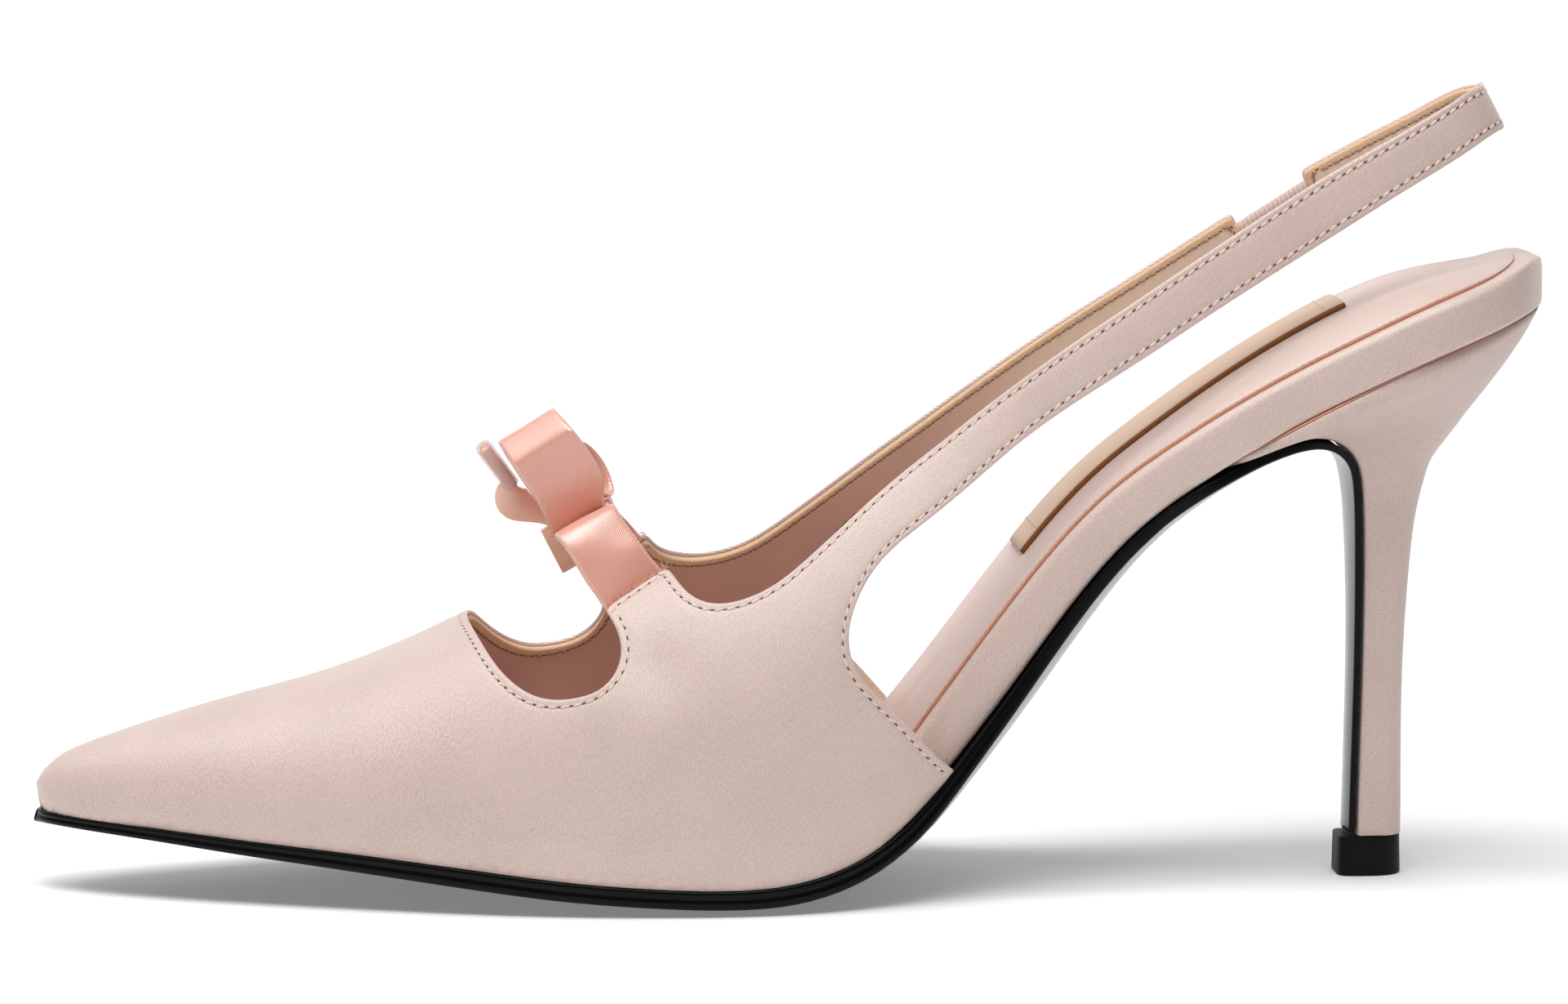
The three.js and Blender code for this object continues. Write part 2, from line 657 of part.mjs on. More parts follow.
function makeHeel() {
  const rows = fill(HEEL, HEEL_ROWS, 2);
  return loft(rows.map((row, i) => heelRing(row, i === 0)));
}

function makeHeelTip() {
  const rows = [
    [TIP.height - GLUE, 0], [0.8, 0], [0, 0.5],
  ].map(([z, inset]) => ({
    frontX: TIP.frontX + inset + TIP.taper * (z / TIP.height), frontZ: z,
    backX: TIP.backX - inset, backZ: z, half: TIP.half - inset, square: 3.4,
  }));
  return loft(rows.map((row) => heelRing(row, false)));
}

// Bow

const ALONG_INSTEP = new THREE.Vector3(Math.cos(SLOPE), 0, Math.sin(SLOPE));
const OUT_OF_INSTEP = new THREE.Vector3(-Math.sin(SLOPE), 0, Math.cos(SLOPE));

function bowVector(w, y, n) {
  return new THREE.Vector3().addScaledVector(ALONG_INSTEP, w).addScaledVector(OUT_OF_INSTEP, n).setY(y);
}

function bowPoint(w, y, n) {
  return bowVector(w, y, n).add(KNOT);
}

// Flat ribbon along rows of centres, with the direction across it and its width.
function ribbon(rows, parts, mirrored = 1) {
  const filled = fill(RIBBON, rows, parts);
  const centres = filled.map((r) => bowPoint(r.w, mirrored * r.y, r.n));
  const rings = filled.map((r, i) => {
    const next = centres[Math.min(filled.length - 1, i + 1)];
    const forward = next.clone().sub(centres[Math.max(0, i - 1)]).normalize();
    const across = bowVector(r.acrossW, mirrored * r.acrossY, r.acrossN).normalize();
    const face = forward.clone().cross(across).normalize();
    const at = (a, b) => centres[i].clone().addScaledVector(across, a * r.width / 2)
      .addScaledVector(face, b * RIBBON_THICK / 2);
    return [at(-1, -1), at(1, -1), at(1, 1), at(-1, 1)];
  });
  return loft(rings);
}

function makeKnot() {
  const square = (value) => Math.sign(value) * Math.pow(Math.abs(value), KNOT_BODY.square);
  const rings = KNOT_ROWS.map(([w, size]) => {
    const ring = [];
    for (let k = 0; k < 12; k++) {
      const angle = 2 * Math.PI * k / 12;
      const y = KNOT_BODY.half * size * square(Math.cos(angle));
      const n = KNOT_BODY.rise + KNOT_BODY.high * size * square(Math.sin(angle));
      ring.push(bowPoint(w, y, n));
    }
    return ring;
  });
  return loft(rings);
}

function makeAglet() {
  const from = bowPoint(...AGLET.from);
  const to = bowPoint(...AGLET.to);
  const length = from.distanceTo(to);
  const r = AGLET.radius;
  const profile = [[0, 0], [r - 0.2, 0], [r, 0.2], [r, length - 0.3], [r - 0.3, length], [0, length]];
  const sheath = new THREE.LatheGeometry(profile.map(([a, b]) => new THREE.Vector2(a, b)), 12);
  const lathed = new THREE.Vector3(0, 1, 0);
  const pointing = to.clone().sub(from).normalize();
  sheath.applyQuaternion(new THREE.Quaternion().setFromUnitVectors(lathed, pointing));
  sheath.translate(from.x, from.y, from.z);
  return geometryOfSolid(solidOf(sheath));
}

// Shoe

const SATIN = new THREE.MeshStandardMaterial({ color: 0xe3cfc6, roughness: 0.45 });
const BLACK = new THREE.MeshStandardMaterial({ color: 0x141313, roughness: 0.25 });
const RIBBON_SATIN = new THREE.MeshStandardMaterial({ color: 0xdf9d8b, roughness: 0.4 });
const LABEL_LEATHER = new THREE.MeshStandardMaterial({ color: 0xe0cdbd, roughness: 0.6 });
const ELASTIC_WEAVE = new THREE.MeshStandardMaterial({ color: 0xe2c6bb, roughness: 0.8 });
const CLEAR_SHEATH = new THREE.MeshStandardMaterial({ color: 0xe6cdc5, roughness: 0.15 });
const TOP_PIECE = new THREE.MeshStandardMaterial({ color: 0x191818, roughness: 0.6 });

const shoe = new THREE.Group();
function put(name, geometry, material) {
  const mesh = new THREE.Mesh(geometry, material);
  mesh.name = name;
  shoe.add(mesh);
}

put('outsole', makeOutsole(), BLACK);
put('insole_board', makeBoard(), SATIN);
put('sock', makeSock(), SATIN);
put('sock_label', makeLabel(), LABEL_LEATHER);
put('upper', makeUpper(), SATIN);
put('elastic', makeElastic(), ELASTIC_WEAVE);
put('heel', makeHeel(), SATIN);
put('heel_tip', makeHeelTip(), TOP_PIECE);
put('ribbon_band_lateral', ribbon(BAND_ROWS, 4, -1), RIBBON_SATIN);
put('ribbon_band_medial', ribbon(BAND_ROWS, 4, 1), RIBBON_SATIN);
put('bow_knot', makeKnot(), RIBBON_SATIN);
put('bow_loop_lateral', ribbon(LOOP_OUTER_ROWS, 3), RIBBON_SATIN);
put('bow_loop_medial', ribbon(LOOP_INNER_ROWS, 3), RIBBON_SATIN);
put('bow_tail_lateral', ribbon(TAIL_OUTER_ROWS, 3), RIBBON_SATIN);
put('bow_tail_medial', ribbon(TAIL_INNER_ROWS, 3), RIBBON_SATIN);
put('aglet', makeAglet(), CLEAR_SHEATH);

export default shoe;
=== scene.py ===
"""Dresses a pointed satin slingback pump: upper, lining, stitching, padded sock, heel and ribbon bow.

Shapes are worked out in millimetres, +X from toe to heel, +Y from the outer to the inner side, +Z up,
and written to the meshes in metres.
"""
import math
from types import SimpleNamespace

import bmesh
import bpy
import numpy as np
from bpy.props import FloatProperty, FloatVectorProperty, PointerProperty
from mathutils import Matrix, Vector
from mathutils.geometry import delaunay_2d_cdt
from mathutils.kdtree import KDTree


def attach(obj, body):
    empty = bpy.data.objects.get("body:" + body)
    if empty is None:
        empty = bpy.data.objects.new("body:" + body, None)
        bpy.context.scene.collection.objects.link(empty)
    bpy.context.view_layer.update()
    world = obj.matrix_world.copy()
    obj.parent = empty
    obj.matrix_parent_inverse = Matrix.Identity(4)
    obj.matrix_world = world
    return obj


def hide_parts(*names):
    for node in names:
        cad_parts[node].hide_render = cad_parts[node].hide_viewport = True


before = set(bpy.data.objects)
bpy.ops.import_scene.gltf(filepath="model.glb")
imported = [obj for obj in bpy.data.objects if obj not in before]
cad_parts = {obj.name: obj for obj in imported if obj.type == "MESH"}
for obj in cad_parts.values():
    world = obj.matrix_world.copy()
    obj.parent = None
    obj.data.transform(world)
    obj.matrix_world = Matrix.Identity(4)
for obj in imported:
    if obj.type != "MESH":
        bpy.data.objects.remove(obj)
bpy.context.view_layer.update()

bl_info = {
    "name": "Satin slingback pump",
    "version": (1, 0, 0),
    "blender": (4, 5, 0),
    "location": "View3D > Sidebar > Shoe",
    "description": "Makes the visible pieces of a satin slingback pump over its packed solids",
    "category": "Add Mesh",
}

MM = 0.001

# Main sizes of the shoe.
TOE = -118.2
TOE_TIP = -118.4  # foremost point of the upper
SEAT_BACK = 118.2
LOOP_END = 110.4  # back of the sling strap
GLUE = 0.3  # space between sole, board and heel
SOLE_LIP = 0.3  # how far the sole edge stands out from the upper
TOE_TUCK = 0.7  # how far the toe's tip overhangs its foot
TUCK = 0.25  # how far the satin runs down past the sole line
WAIST_END = 61  # behind this the sole leaves the board and runs down the heel's breast
BELLY_SHARE = 0.19  # part of a section's run that lies below its widest point
SEAT_LEVELS = (92, 116)  # over this run the board's back end turns upright
STATIONS = 190  # steps along the shoe


def round_ended(start, end, x):
    """Angle from 0 to pi between two ends, so that a shape closing there closes round."""
    share = (np.asarray(x, float) - start) / (end - start)
    return np.arccos(1 - 2 * np.clip(share, 0, 1))


def smooth(us, vs):
    """Curve without kinks through the points (us, vs), as a function of u."""
    us = np.asarray(us, float)
    vs = np.asarray(vs, float)
    step = np.diff(us)
    slope = np.diff(vs) / step
    count = len(us)
    system = np.zeros((count, count))
    right = np.zeros(count)
    system[0, :2] = 2, 1
    system[-1, -2:] = 1, 2
    for i in range(1, count - 1):
        system[i, i - 1:i + 2] = step[i - 1], 2 * (step[i - 1] + step[i]), step[i]
        right[i] = 6 * (slope[i] - slope[i - 1])
    bend = np.linalg.solve(system, right)

    def curve(u):
        u = np.clip(u, us[0], us[-1])
        i = np.clip(np.searchsorted(us, u) - 1, 0, count - 2)
        h = step[i]
        after = u - us[i]
        before = us[i + 1] - u
        cubic = (bend[i] * before ** 3 + bend[i + 1] * after ** 3) / (6 * h)
        straight = (vs[i] / h - bend[i] * h / 6) * before + (vs[i + 1] / h - bend[i + 1] * h / 6) * after
        return cubic + straight

    return curve


def table(start, end, names, rows):
    """Each column of the rows as a smooth function of the first one."""
    us = round_ended(start, end, [row[0] for row in rows])
    columns = {}
    for k, name in enumerate(names[1:], 1):
        curve = smooth(us, [row[k] for row in rows])
        columns[name] = lambda x, curve=curve: curve(round_ended(start, end, x))
    return SimpleNamespace(**columns)


def fill(names, rows, parts):
    """Rows filled in smoothly, each step between two rows cut into the given number of parts."""
    us = np.arange(len(rows))
    dense = np.linspace(0, len(rows) - 1, (len(rows) - 1) * parts + 1)
    curves = {name: smooth(us, [row[k] for row in rows])(dense) for k, name in enumerate(names)}
    return [SimpleNamespace(**{name: curves[name][i] for name in names}) for i in range(len(dense))]


def unit(vector):
    return vector / np.linalg.norm(vector)


def run_lengths(points):
    """Length along a line up to each of its points, or along each of several lines."""
    steps = np.linalg.norm(np.diff(points, axis=-2), axis=-1)
    return np.concatenate([np.zeros((*steps.shape[:-1], 1)), np.cumsum(steps, axis=-1)], axis=-1)


# Line where sole and upper meet, and behind the quarters the underside of the insole board.
# height: above the floor. outer, inner: half widths of the sole there.
BOTTOM = table(TOE, SEAT_BACK, ("x", "height", "outer", "inner"), (
    (-118.2, 12.8, 0, 0),
    (-117.2, 12.7, 3.0, 3.0),
    (-114.2, 12.6, 6.2, 6.2),
    (-108, 12.2, 10.2, 10.2),
    (-98, 11.5, 15.4, 15.3),
    (-86, 10.5, 20.4, 20.5),
    (-73, 9.5, 25.2, 25.6),
    (-60, 8.3, 29.4, 30.1),
    (-48, 7.0, 32.6, 33.5),
    (-36, 5.7, 34.9, 35.6),
    (-24, 4.8, 36.0, 36.1),
    (-12, 4.4, 36.1, 34.6),
    (-2, 5.1, 34.8, 32.2),
    (6, 7.2, 32.4, 29.6),
    (12, 10.2, 30.0, 27.4),
    (18, 15.2, 27.6, 25.4),
    (24, 22.1, 25.3, 23.2),
    (30, 29.6, 23.4, 21.4),
    (36, 37.6, 22.0, 20.2),
    (42, 45.6, 21.2, 19.8),
    (48, 52.8, 21.0, 19.9),
    (54, 58.6, 21.1, 20.4),
    (60, 63.1, 21.6, 21.5),
    (68, 68.4, 22.6, 22.5),
    (78, 74.2, 23.8, 23.7),
    (88, 79.3, 24.8, 24.7),
    (98, 83.9, 24.6, 24.6),
    (106, 87.0, 22.2, 22.2),
    (112, 89.2, 17.6, 17.6),
    (116, 90.5, 10.8, 10.8),
    (118.2, 91.0, 0, 0),
))

# Sections of the last. outer, inner: largest half widths, at the height belly. crown: top of the section.
# full: squareness of the curve from belly to crown. lean: how far it tips back per mm of height.
LAST = table(TOE_TIP, LOOP_END, ("x", "outer", "inner", "belly", "crown", "full", "lean"), (
    (-118.4, 0, 0, 15.6, 16.6, 2.0, 0),
    (-117.3, 3.3, 3.3, 15.7, 18.6, 2.0, 0),
    (-114.2, 6.8, 6.8, 15.6, 21.1, 2.0, 0),
    (-108, 11.0, 11.0, 15.4, 23.6, 2.05, 0),
    (-98, 16.4, 16.3, 15.6, 26.8, 2.1, 0),
    (-86, 21.6, 21.7, 15.6, 30.1, 2.15, 0),
    (-73, 26.7, 27.1, 15.4, 33.5, 2.2, 0),
    (-60, 31.2, 31.9, 15.2, 38.3, 2.3, 0),
    (-48, 34.6, 35.4, 15.0, 43.8, 2.4, 0),
    (-36, 37.0, 37.6, 15.2, 49.3, 2.45, 0),
    (-24, 38.2, 38.2, 15.8, 54.3, 2.45, 0),
    (-12, 38.2, 36.7, 16.8, 59.7, 2.45, 0),
    (0, 36.6, 34.2, 18.2, 65.4, 2.45, 0),
    (10, 33.4, 31.2, 21, 71.4, 2.45, 0),
    (20, 29.0, 27.6, 26, 78.8, 2.45, 0),
    (30, 24.0, 22.4, 38, 88, 2.45, 0.06),
    (40, 20.0, 18.2, 57, 97, 2.45, 0.16),
    (50, 17.6, 15.6, 70.5, 105, 2.45, 0.26),
    (62, 15.6, 13.8, 80.5, 113.5, 2.45, 0.36),
    (75, 14.0, 12.6, 90, 121.5, 2.45, 0.43),
    (88, 12.5, 11.6, 98, 129.5, 2.45, 0.48),
    (98, 10.4, 10.0, 103.5, 136, 2.45, 0.51),
    (104.5, 8.0, 8.0, 107, 140, 2.45, 0.53),
    (108.4, 5.0, 5.0, 109, 142.6, 2.45, 0.53),
    (110.4, 0, 0, 110, 144, 2.45, 0.53),
))
# Hollow under each wing, where the ribbon pulls: its middle, spread and depth.
HOLLOW = SimpleNamespace(x=-23.5, height=38.5, length=5.5, tall=5.5, depth=1.4)
# Line that the sling strap follows in the side view: one place on it, and its rise for each mm.
STRAP_AXIS = SimpleNamespace(x=20, height=64.8, rise=0.633)

# Edges of the upper in the side view, each as (x, height).
CROWN_EDGE = -51.1  # front of the cut-out, on the middle line
CUT_OUT = (
    (-49.1, 40.2), (-45.6, 36.3), (-41, 33.8), (-36.2, 33.7),
    (-31.4, 35.3), (-28.7, 38.6), (-28.5, 42.6), (-30.5, 46.3),
)
WING = {
    -1: ((-30.5, 46.3), (-20.8, 52.2)),
    1: ((-30.9, 47.4), (-22.2, 53.0)),
}
COLLAR = {
    -1: ((-20.8, 52.2), (-18.1, 49.3), (-13.3, 47.7), (-6, 49.8), (0.5, 54.3), (10, 62.2), (18, 68.4)),
    1: ((-22.2, 53.0), (-19.6, 50.2), (-13.6, 48.6), (-6, 50.3), (0.5, 54.6), (10, 62.2), (18, 68.4)),
}
REAR_EDGE = {
    -1: ((22.9, 20.8), (14.4, 30.2), (8.2, 36.8), (6.5, 42.2), (8.0, 48.2), (12.4, 54.4), (20, 60.2)),
    1: ((21.8, 20.0), (13.2, 29.6), (7.2, 36.4), (5.8, 42.2), (7.6, 48.4), (12.4, 54.6), (20, 60.2)),
}
# Height of the strap's top and bottom edges over its axis.
STRAP_ROWS = (
    (27, 5.7, -3.6), (34, 6.1, -2.4), (43, 6.2, -2.0), (53, 6.0, -2.1), (63, 5.85, -2.05),
    (73.2, 5.75, -2.1), (84, 5.5, -2.25), (94, 4.75, -2.5), (102, 4.1, -2.9), (110.4, 3.4, -3.35),
)
# Elastic gore: its visible ends, how far it runs in under the strap, its edges over the strap's axis,
# its depth, thickness and rounded edges. Within ease under the strap it gets sunk deeper and thinner.
ELASTIC = SimpleNamespace(
    start=73.2, end=84.0, tuck=2.6, top=4.0, bottom=-1.7, depth=0.35, thick=1.1, rounding=0.25,
    ease=0.8, sunk=0.5, thinner=0.6)

# Thickness of the outsole's edge, and how far its middle bulges below the edge.
SOLE = table(TOE, SEAT_BACK, ("x", "edge", "bulge"), (
    (-118.2, 1.8, 0.3),
    (-98, 2.1, 0.7),
    (-73, 2.7, 1.1),
    (-48, 3.1, 1.3),
    (-12, 3.1, 1.4),
    (6, 3.2, 2.4),
    (24, 2.5, 3.6),
    (45, 2.0, 3.7),
    (60, 1.8, 3.0),
))
# Flap of the sole over the front of the heel: its line in the side view, half width, edge and bulge.
BREAST = ("x", "height", "half", "edge", "bulge")
BREAST_ROWS = (
    (65.5, 66.0, 21.2, 1.6, 2.5),
    (71.3, 68.3, 18.6, 1.4, 2.0),
    (77.0, 69.85, 15.4, 1.3, 1.4),
    (81.8, 70.15, 12.6, 1.2, 0.6),
    (85.45, 68.95, 10.7, 1.1, 0.4),
    (87.85, 66.4, 9.25, 1.0, 0.35),
    (88.95, 62.8, 8.15, 1.0, 0.35),
    (89.5, 56, 6.85, 1.0, 0.35),
    (89.8, 44, 5.55, 1.0, 0.35),
    (89.7, 30, 4.95, 0.95, 0.35),
    (89.4, 16, 4.75, 0.95, 0.35),
    (89.2, 7.0, 4.75, 0.95, 0.35),
)
BREAST_LEAD = (13, 7, 1)  # rows that lead from the waist into the flap, so far ahead of WAIST_END
BREAST_PARTS = 8  # parts of each step between two rows
# Outline of the sole edge: how far in from its widest, and how far down as a share of its thickness.
SOLE_EDGE = (
    (0.4, 0), (0.1, 0.05), (0, 0.16), (0.02, 0.28), (0.16, 0.38), (0.34, 0.45), (0.2, 0.52),
    (0.1, 0.62), (0.12, 0.74), (0.3, 0.88), (0.7, 0.98),
)
# The same where the edge has no groove.
PLAIN_EDGE = (
    (0.05, 0), (0.02, 0.05), (0, 0.16), (0, 0.28), (0, 0.38), (0, 0.45), (0, 0.52), (0, 0.62), (0, 0.74),
    (0.08, 0.88), (0.4, 0.98),
)
GROOVE_END = 31  # behind this the edge has no groove
GROOVE_FADE = 30  # run over which the groove fades out
NARROW_SOLE = 2.4  # half width under which the edge's outline shrinks with the sole
# Underside of the sole: how far in from its widest it starts, and shares of its half width.
SOLE_FLOOR_INSET = 0.9
SOLE_FLOOR = (0.97, 0.88, 0.75, 0.6, 0.4, 0.2)
# Rings that close the sole at the toe: how far ahead of the first one, and how large.
SOLE_TIP = ((0.16, 0.85), (0.26, 0.5))

# Insole board: its thickness, and how far its side stands in from the sole edge.
BOARD = table(TOE, SEAT_BACK, ("x", "thick", "inset"), (
    (-118.2, 2.4, 3.4),
    (-98, 2.4, 2.6),
    (-40, 2.6, 2.3),
    (-10, 3.6, 2.3),
    (14, 6.6, 2.3),
    (24, 7.4, 2.3),
    (34, 7.6, 1.1),
    (44, 7.3, 0.4),
    (80, 7.2, 0.3),
    (104, 7.4, 0.3),
    (110, 7.6, 0.3),
    (114, 8.0, 0.3),
    (116.6, 7.7, 0.3),
    (118.2, 5.4, 0.3),
))
BOARD_TIP = -114.0  # where the board starts, behind the toe
BOARD_ROUND = SimpleNamespace(low=0.9, high=1.5, bulge=0.12)  # radii of its corners, bulge of its side

# Sock: distance in from the board's side, its ends, run of its rounded back, half width at the seat,
# and its lift over the board.
SOCK = SimpleNamespace(inset=2.3, start=-112, end=113.8, round=22, seat=23, lift=0.08)
# Points up the sock's side as shares of its edge, and over half of its top as shares of its half width.
SOCK_SIDE = (0, 0.3, 0.55)
SOCK_TOP = (
    1, 0.99, 0.97, 0.94, 0.9, 0.85, 0.8, 0.74, 0.68, 0.62, 0.55, 0.48, 0.41, 0.34, 0.26, 0.18, 0.09,
)
SOCK_CORNER = SimpleNamespace(start=0.9, drop=0.25)  # from this share on the top rounds down to its edge
# Sock: how far its middle domes over its edge, and how far the edge stands over the board.
SOCK_PAD = table(TOE, SEAT_BACK, ("x", "dome", "edge"), (
    (-118.2, 0.3, 0.8),
    (0, 0.4, 0.8),
    (30, 0.5, 0.8),
    (46, 0.9, 0.8),
    (62, 1.6, 0.8),
    (76, 2.4, 0.8),
    (88, 2.9, 0.8),
    (98, 2.5, 0.8),
    (106, 1.4, 0.65),
    (111, 0.7, 0.4),
    (118.2, 0.3, 0.2),
))
PAD_FULL = 3.2  # squareness of the pad's section
# Soft creases of the sock's satin: both ends along the shoe, place as a share of the half width, depth,
# and spread as such a share.
CREASES = (
    (8, 46, -0.08, 0.45, 0.14),
    (40, 104, -0.62, 0.16, 0.07),
    (58, 110, -0.80, 0.12, 0.05),
    (66, 112, -0.36, 0.10, 0.06),
    (48, 106, 0.66, 0.15, 0.07),
    (70, 112, 0.42, 0.10, 0.06),
)
# Leather strip on the sock: its ends, half width, thickness, lift over the pad, how far its stitches lie
# from its ends and its sides, and how much its top rounds down towards ends and sides.
LABEL = SimpleNamespace(
    start=42.8, end=91, half=8, thick=0.9, lift=0.12, stitch_from_end=2.6, stitch_from_side=1.2,
    end_round=0.12, end_run=0.8, side_round=0.1, side_square=24)

# Heel, seat to top piece: ends of each slanted section, half width, squareness of its front corners.
HEEL = ("front_x", "front_z", "back_x", "back_z", "half", "square")
HEEL_ROWS = (
    (63.6, 65.2, 117.7, 90.5, 24.2, 3.6),
    (66.6, 66.6, 116.0, 87.2, 22.4, 4.0),
    (71.3, 68.4, 113.4, 82.9, 19.4, 4.8),
    (77.0, 69.9, 109.9, 78.0, 15.8, 6.0),
    (81.8, 70.2, 106.4, 73.4, 12.8, 9),
    (85.5, 69.0, 103.4, 69.4, 10.8, 12),
    (87.9, 66.5, 101.0, 66.0, 9.3, 14),
    (89.0, 62.8, 99.7, 62.0, 8.2, 14),
    (89.6, 56, 98.4, 55.6, 6.9, 14),
    (89.9, 44, 97.4, 44, 5.6, 14),
    (89.8, 30, 96.8, 30, 5.0, 14),
    (89.5, 16, 96.8, 16, 4.8, 14),
    (89.3, 6.5, 96.8, 6.5, 4.8, 14),
)
HEEL_BACK = 2.1  # squareness of the heel's back
HEEL_AROUND = 72  # points round a section of the heel
SEAT_GAP = 1.25 * GLUE  # between the heel and the board
# Rings of the seam between them: how far below the board as a share of GLUE, and how far in.
SEAM_ROWS = ((1.3, 0.45), (0.9, 0.12), (0.25, 0.12), (0.05, 0.45))
SEAM_AROUND = 120  # points round a ring of the seam
# Top piece: its ends, half width and squareness, then rows of height and how far in.
TIP = SimpleNamespace(front=86.3, back=96.8, half=4.9, square=5.5)
TIP_ROWS = (
    (6.3, 0.4), (6.28, 0.24), (6.2, 0.15), (6.0, 0.12), (3.2, 0.06), (0.4, 0), (0.16, 0.04), (0.04, 0.14),
    (0, 0.3),
)

# Ribbon bow. Its own axes at the knot: w along the slope of the instep, n up out of it.
KNOT = np.array((-33.5, 0, 58))
SLOPE = math.radians(31.5)
# Rows of a ribbon: its middle, the direction across it, its width, and how far its middle cups up.
RIBBON = ("w", "y", "n", "across_w", "across_y", "across_n", "width", "cup")
BAND_OUTER_ROWS = (
    (1.7, -20.7, -13.6, 0.91, 0.41, 0, 11.6, 0.1),
    (1.6, -20.7, -12.0, 0.91, 0.41, 0, 11.5, 0.2),
    (1.4, -20.6, -9.4, 0.92, 0.38, 0, 11.0, 0.3),
    (1.2, -20.2, -6.7, 0.94, 0.34, 0, 10.8, 0.4),
    (1.1, -19.5, -3.9, 0.92, 0.38, -0.05, 10.7, 0.4),
    (1.0, -18.7, -1.5, 0.92, 0.38, -0.1, 10.7, 0.4),
    (0.9, -17.4, 0.3, 0.94, 0.32, -0.1, 10.7, 0.3),
    (0.8, -14.8, 0.6, 0.97, 0.24, -0.1, 10.6, 0.2),
    (0.5, -10.2, -0.8, 1, 0.08, -0.05, 10.4, 0.2),
    (0, -3.1, -0.5, 1, 0, 0, 10.0, 0.2),
)
BAND_INNER_ROWS = (
    (1.4, 21.4, -11.9, 0.91, -0.41, 0, 10.6, 0.1),
    (1.1, 20.6, -9.4, 0.91, -0.41, 0, 10.6, 0.3),
    (0.6, 19.0, -6.6, 0.94, -0.34, 0, 10.4, 0.5),
    (0.2, 15.8, -3.9, 0.97, -0.22, 0, 10.2, 0.5),
    (0.5, 10.4, -1.8, 0.99, -0.1, 0, 10.3, 0.3),
    (0.6, 3.1, -0.6, 1, 0, 0, 10.2, 0.2),
)
LOOP_OUTER_ROWS = (
    (-0.2, -3.1, 1.1, 1, 0, 0, 9.0, 0),
    (-0.5, -6.0, -0.1, 1, 0, 0, 9.7, 0.1),
    (0.2, -8.2, 1.6, 1, 0, 0, 10.1, 0.2),
    (1.2, -9.6, 4.6, 1, 0, 0, 11.0, 0.3),
    (1.4, -10.3, 7.8, 1, 0, 0, 11.2, 0.3),
    (1.2, -10.5, 10.6, 1, 0, 0, 11.2, 0.3),
    (1.1, -10.6, 12.6, 1, 0, 0, 11.0, 0.2),
    (1.0, -10.4, 13.4, 1, 0, 0, 10.9, 0.1),
    (0.95, -9.6, 14.3, 1, 0, 0, 10.7, 0.05),
    (0.8, -8.2, 15.5, 1, 0, 0, 10.4, 0.1),
    (0.6, -6.3, 16.7, 1, 0, 0, 10.2, 0.1),
    (0.5, -4.9, 16.5, 1, 0, 0, 10.1, 0.1),
    (0.4, -3.8, 14.0, 1, 0, 0, 10.1, 0.2),
    (0.3, -2.6, 9.6, 1, 0, 0, 9.8, 0.2),
    (0, -2.0, 4.6, 1, 0, 0, 8.8, 0),
)
LOOP_INNER_ROWS = (
    (0.3, 3.1, 1.1, 1, 0, 0, 8.8, 0),
    (0.8, 5.6, -0.2, 1, 0, -0.06, 9.8, 0.1),
    (1.5, 8.0, -0.3, 1, 0, -0.1, 10.0, 0.2),
    (2.2, 9.8, 1.6, 1, 0, -0.1, 10.1, 0.3),
    (2.5, 10.2, 4.8, 1, 0, -0.06, 10.1, 0.3),
    (1.9, 8.4, 7.9, 1, 0, 0, 9.9, 0.2),
    (1.1, 5.6, 8.6, 1, 0, 0, 9.8, 0.1),
    (0.6, 3.6, 7.2, 1, 0, 0, 9.6, 0.1),
    (0.3, 2.4, 4.4, 1, 0, 0, 8.8, 0),
)
TAIL_INNER_ROWS = (
    (-2.2, 2.2, 0.8, 1, 0, 0, 8.4, 0.1),
    (-2.4, 3.6, -2.3, 1, 0, 0, 8.6, 0.3),
    (-2.7, 5.6, -7.2, 1, 0, 0, 8.8, 0.2),
)
# The other tail is folded and gathered into the sheath: its middle, half height and half depth.
POUCH = ("w", "y", "n", "half", "depth")
POUCH_ROWS = (
    (-2.6, -0.5, 0.8, 1.6, 0.45),
    (-4.6, -0.9, 2.9, 1.4, 0.7),
    (-6.3, -1.3, 5.2, 2.2, 1.1),
    (-7.4, -1.8, 7.4, 2.8, 1.3),
    (-7.3, -2.4, 9.3, 2.1, 1.2),
    (-6.7, -2.9, 10.5, 1.2, 1.1),
)
# Knot: half width, half height, rise over the instep, power that squares its section, and pleats round it.
# Its rows are places along it and sizes.
KNOT_BODY = SimpleNamespace(half=2.5, high=2.3, rise=1.1, square=0.7, pleats=7, pleat_depth=0.05)
KNOT_ROWS = (
    (-4.4, 0.8), (-4.2, 0.92), (-3.6, 1), (-1.5, 1.04), (1.0, 0.98), (3.4, 1.02), (4.2, 0.94), (4.4, 0.8),
)
# Sheath on the ribbon's end: both ends of its axis, its radius and its wall.
AGLET = SimpleNamespace(start=(-6.3, -3.2, 10.0), end=(-6.8, -7.2, 17.9), radius=1.35, wall=0.28)

# Camera of the photograph: what it looks at, from how far, and how many pixels wide a millimetre is there.
LOOK_AT = np.array((-1.2, 0, 59.75))
CAMERA_AWAY = 1100
CAMERA_TURN = math.radians(-4)
CAMERA_RISE = math.radians(6.5)
PIXELS_PER_MM = 7.8
IMAGE_WIDTH = 1920
SENSOR = 36
FARTHEST = 20  # metres that the camera sees

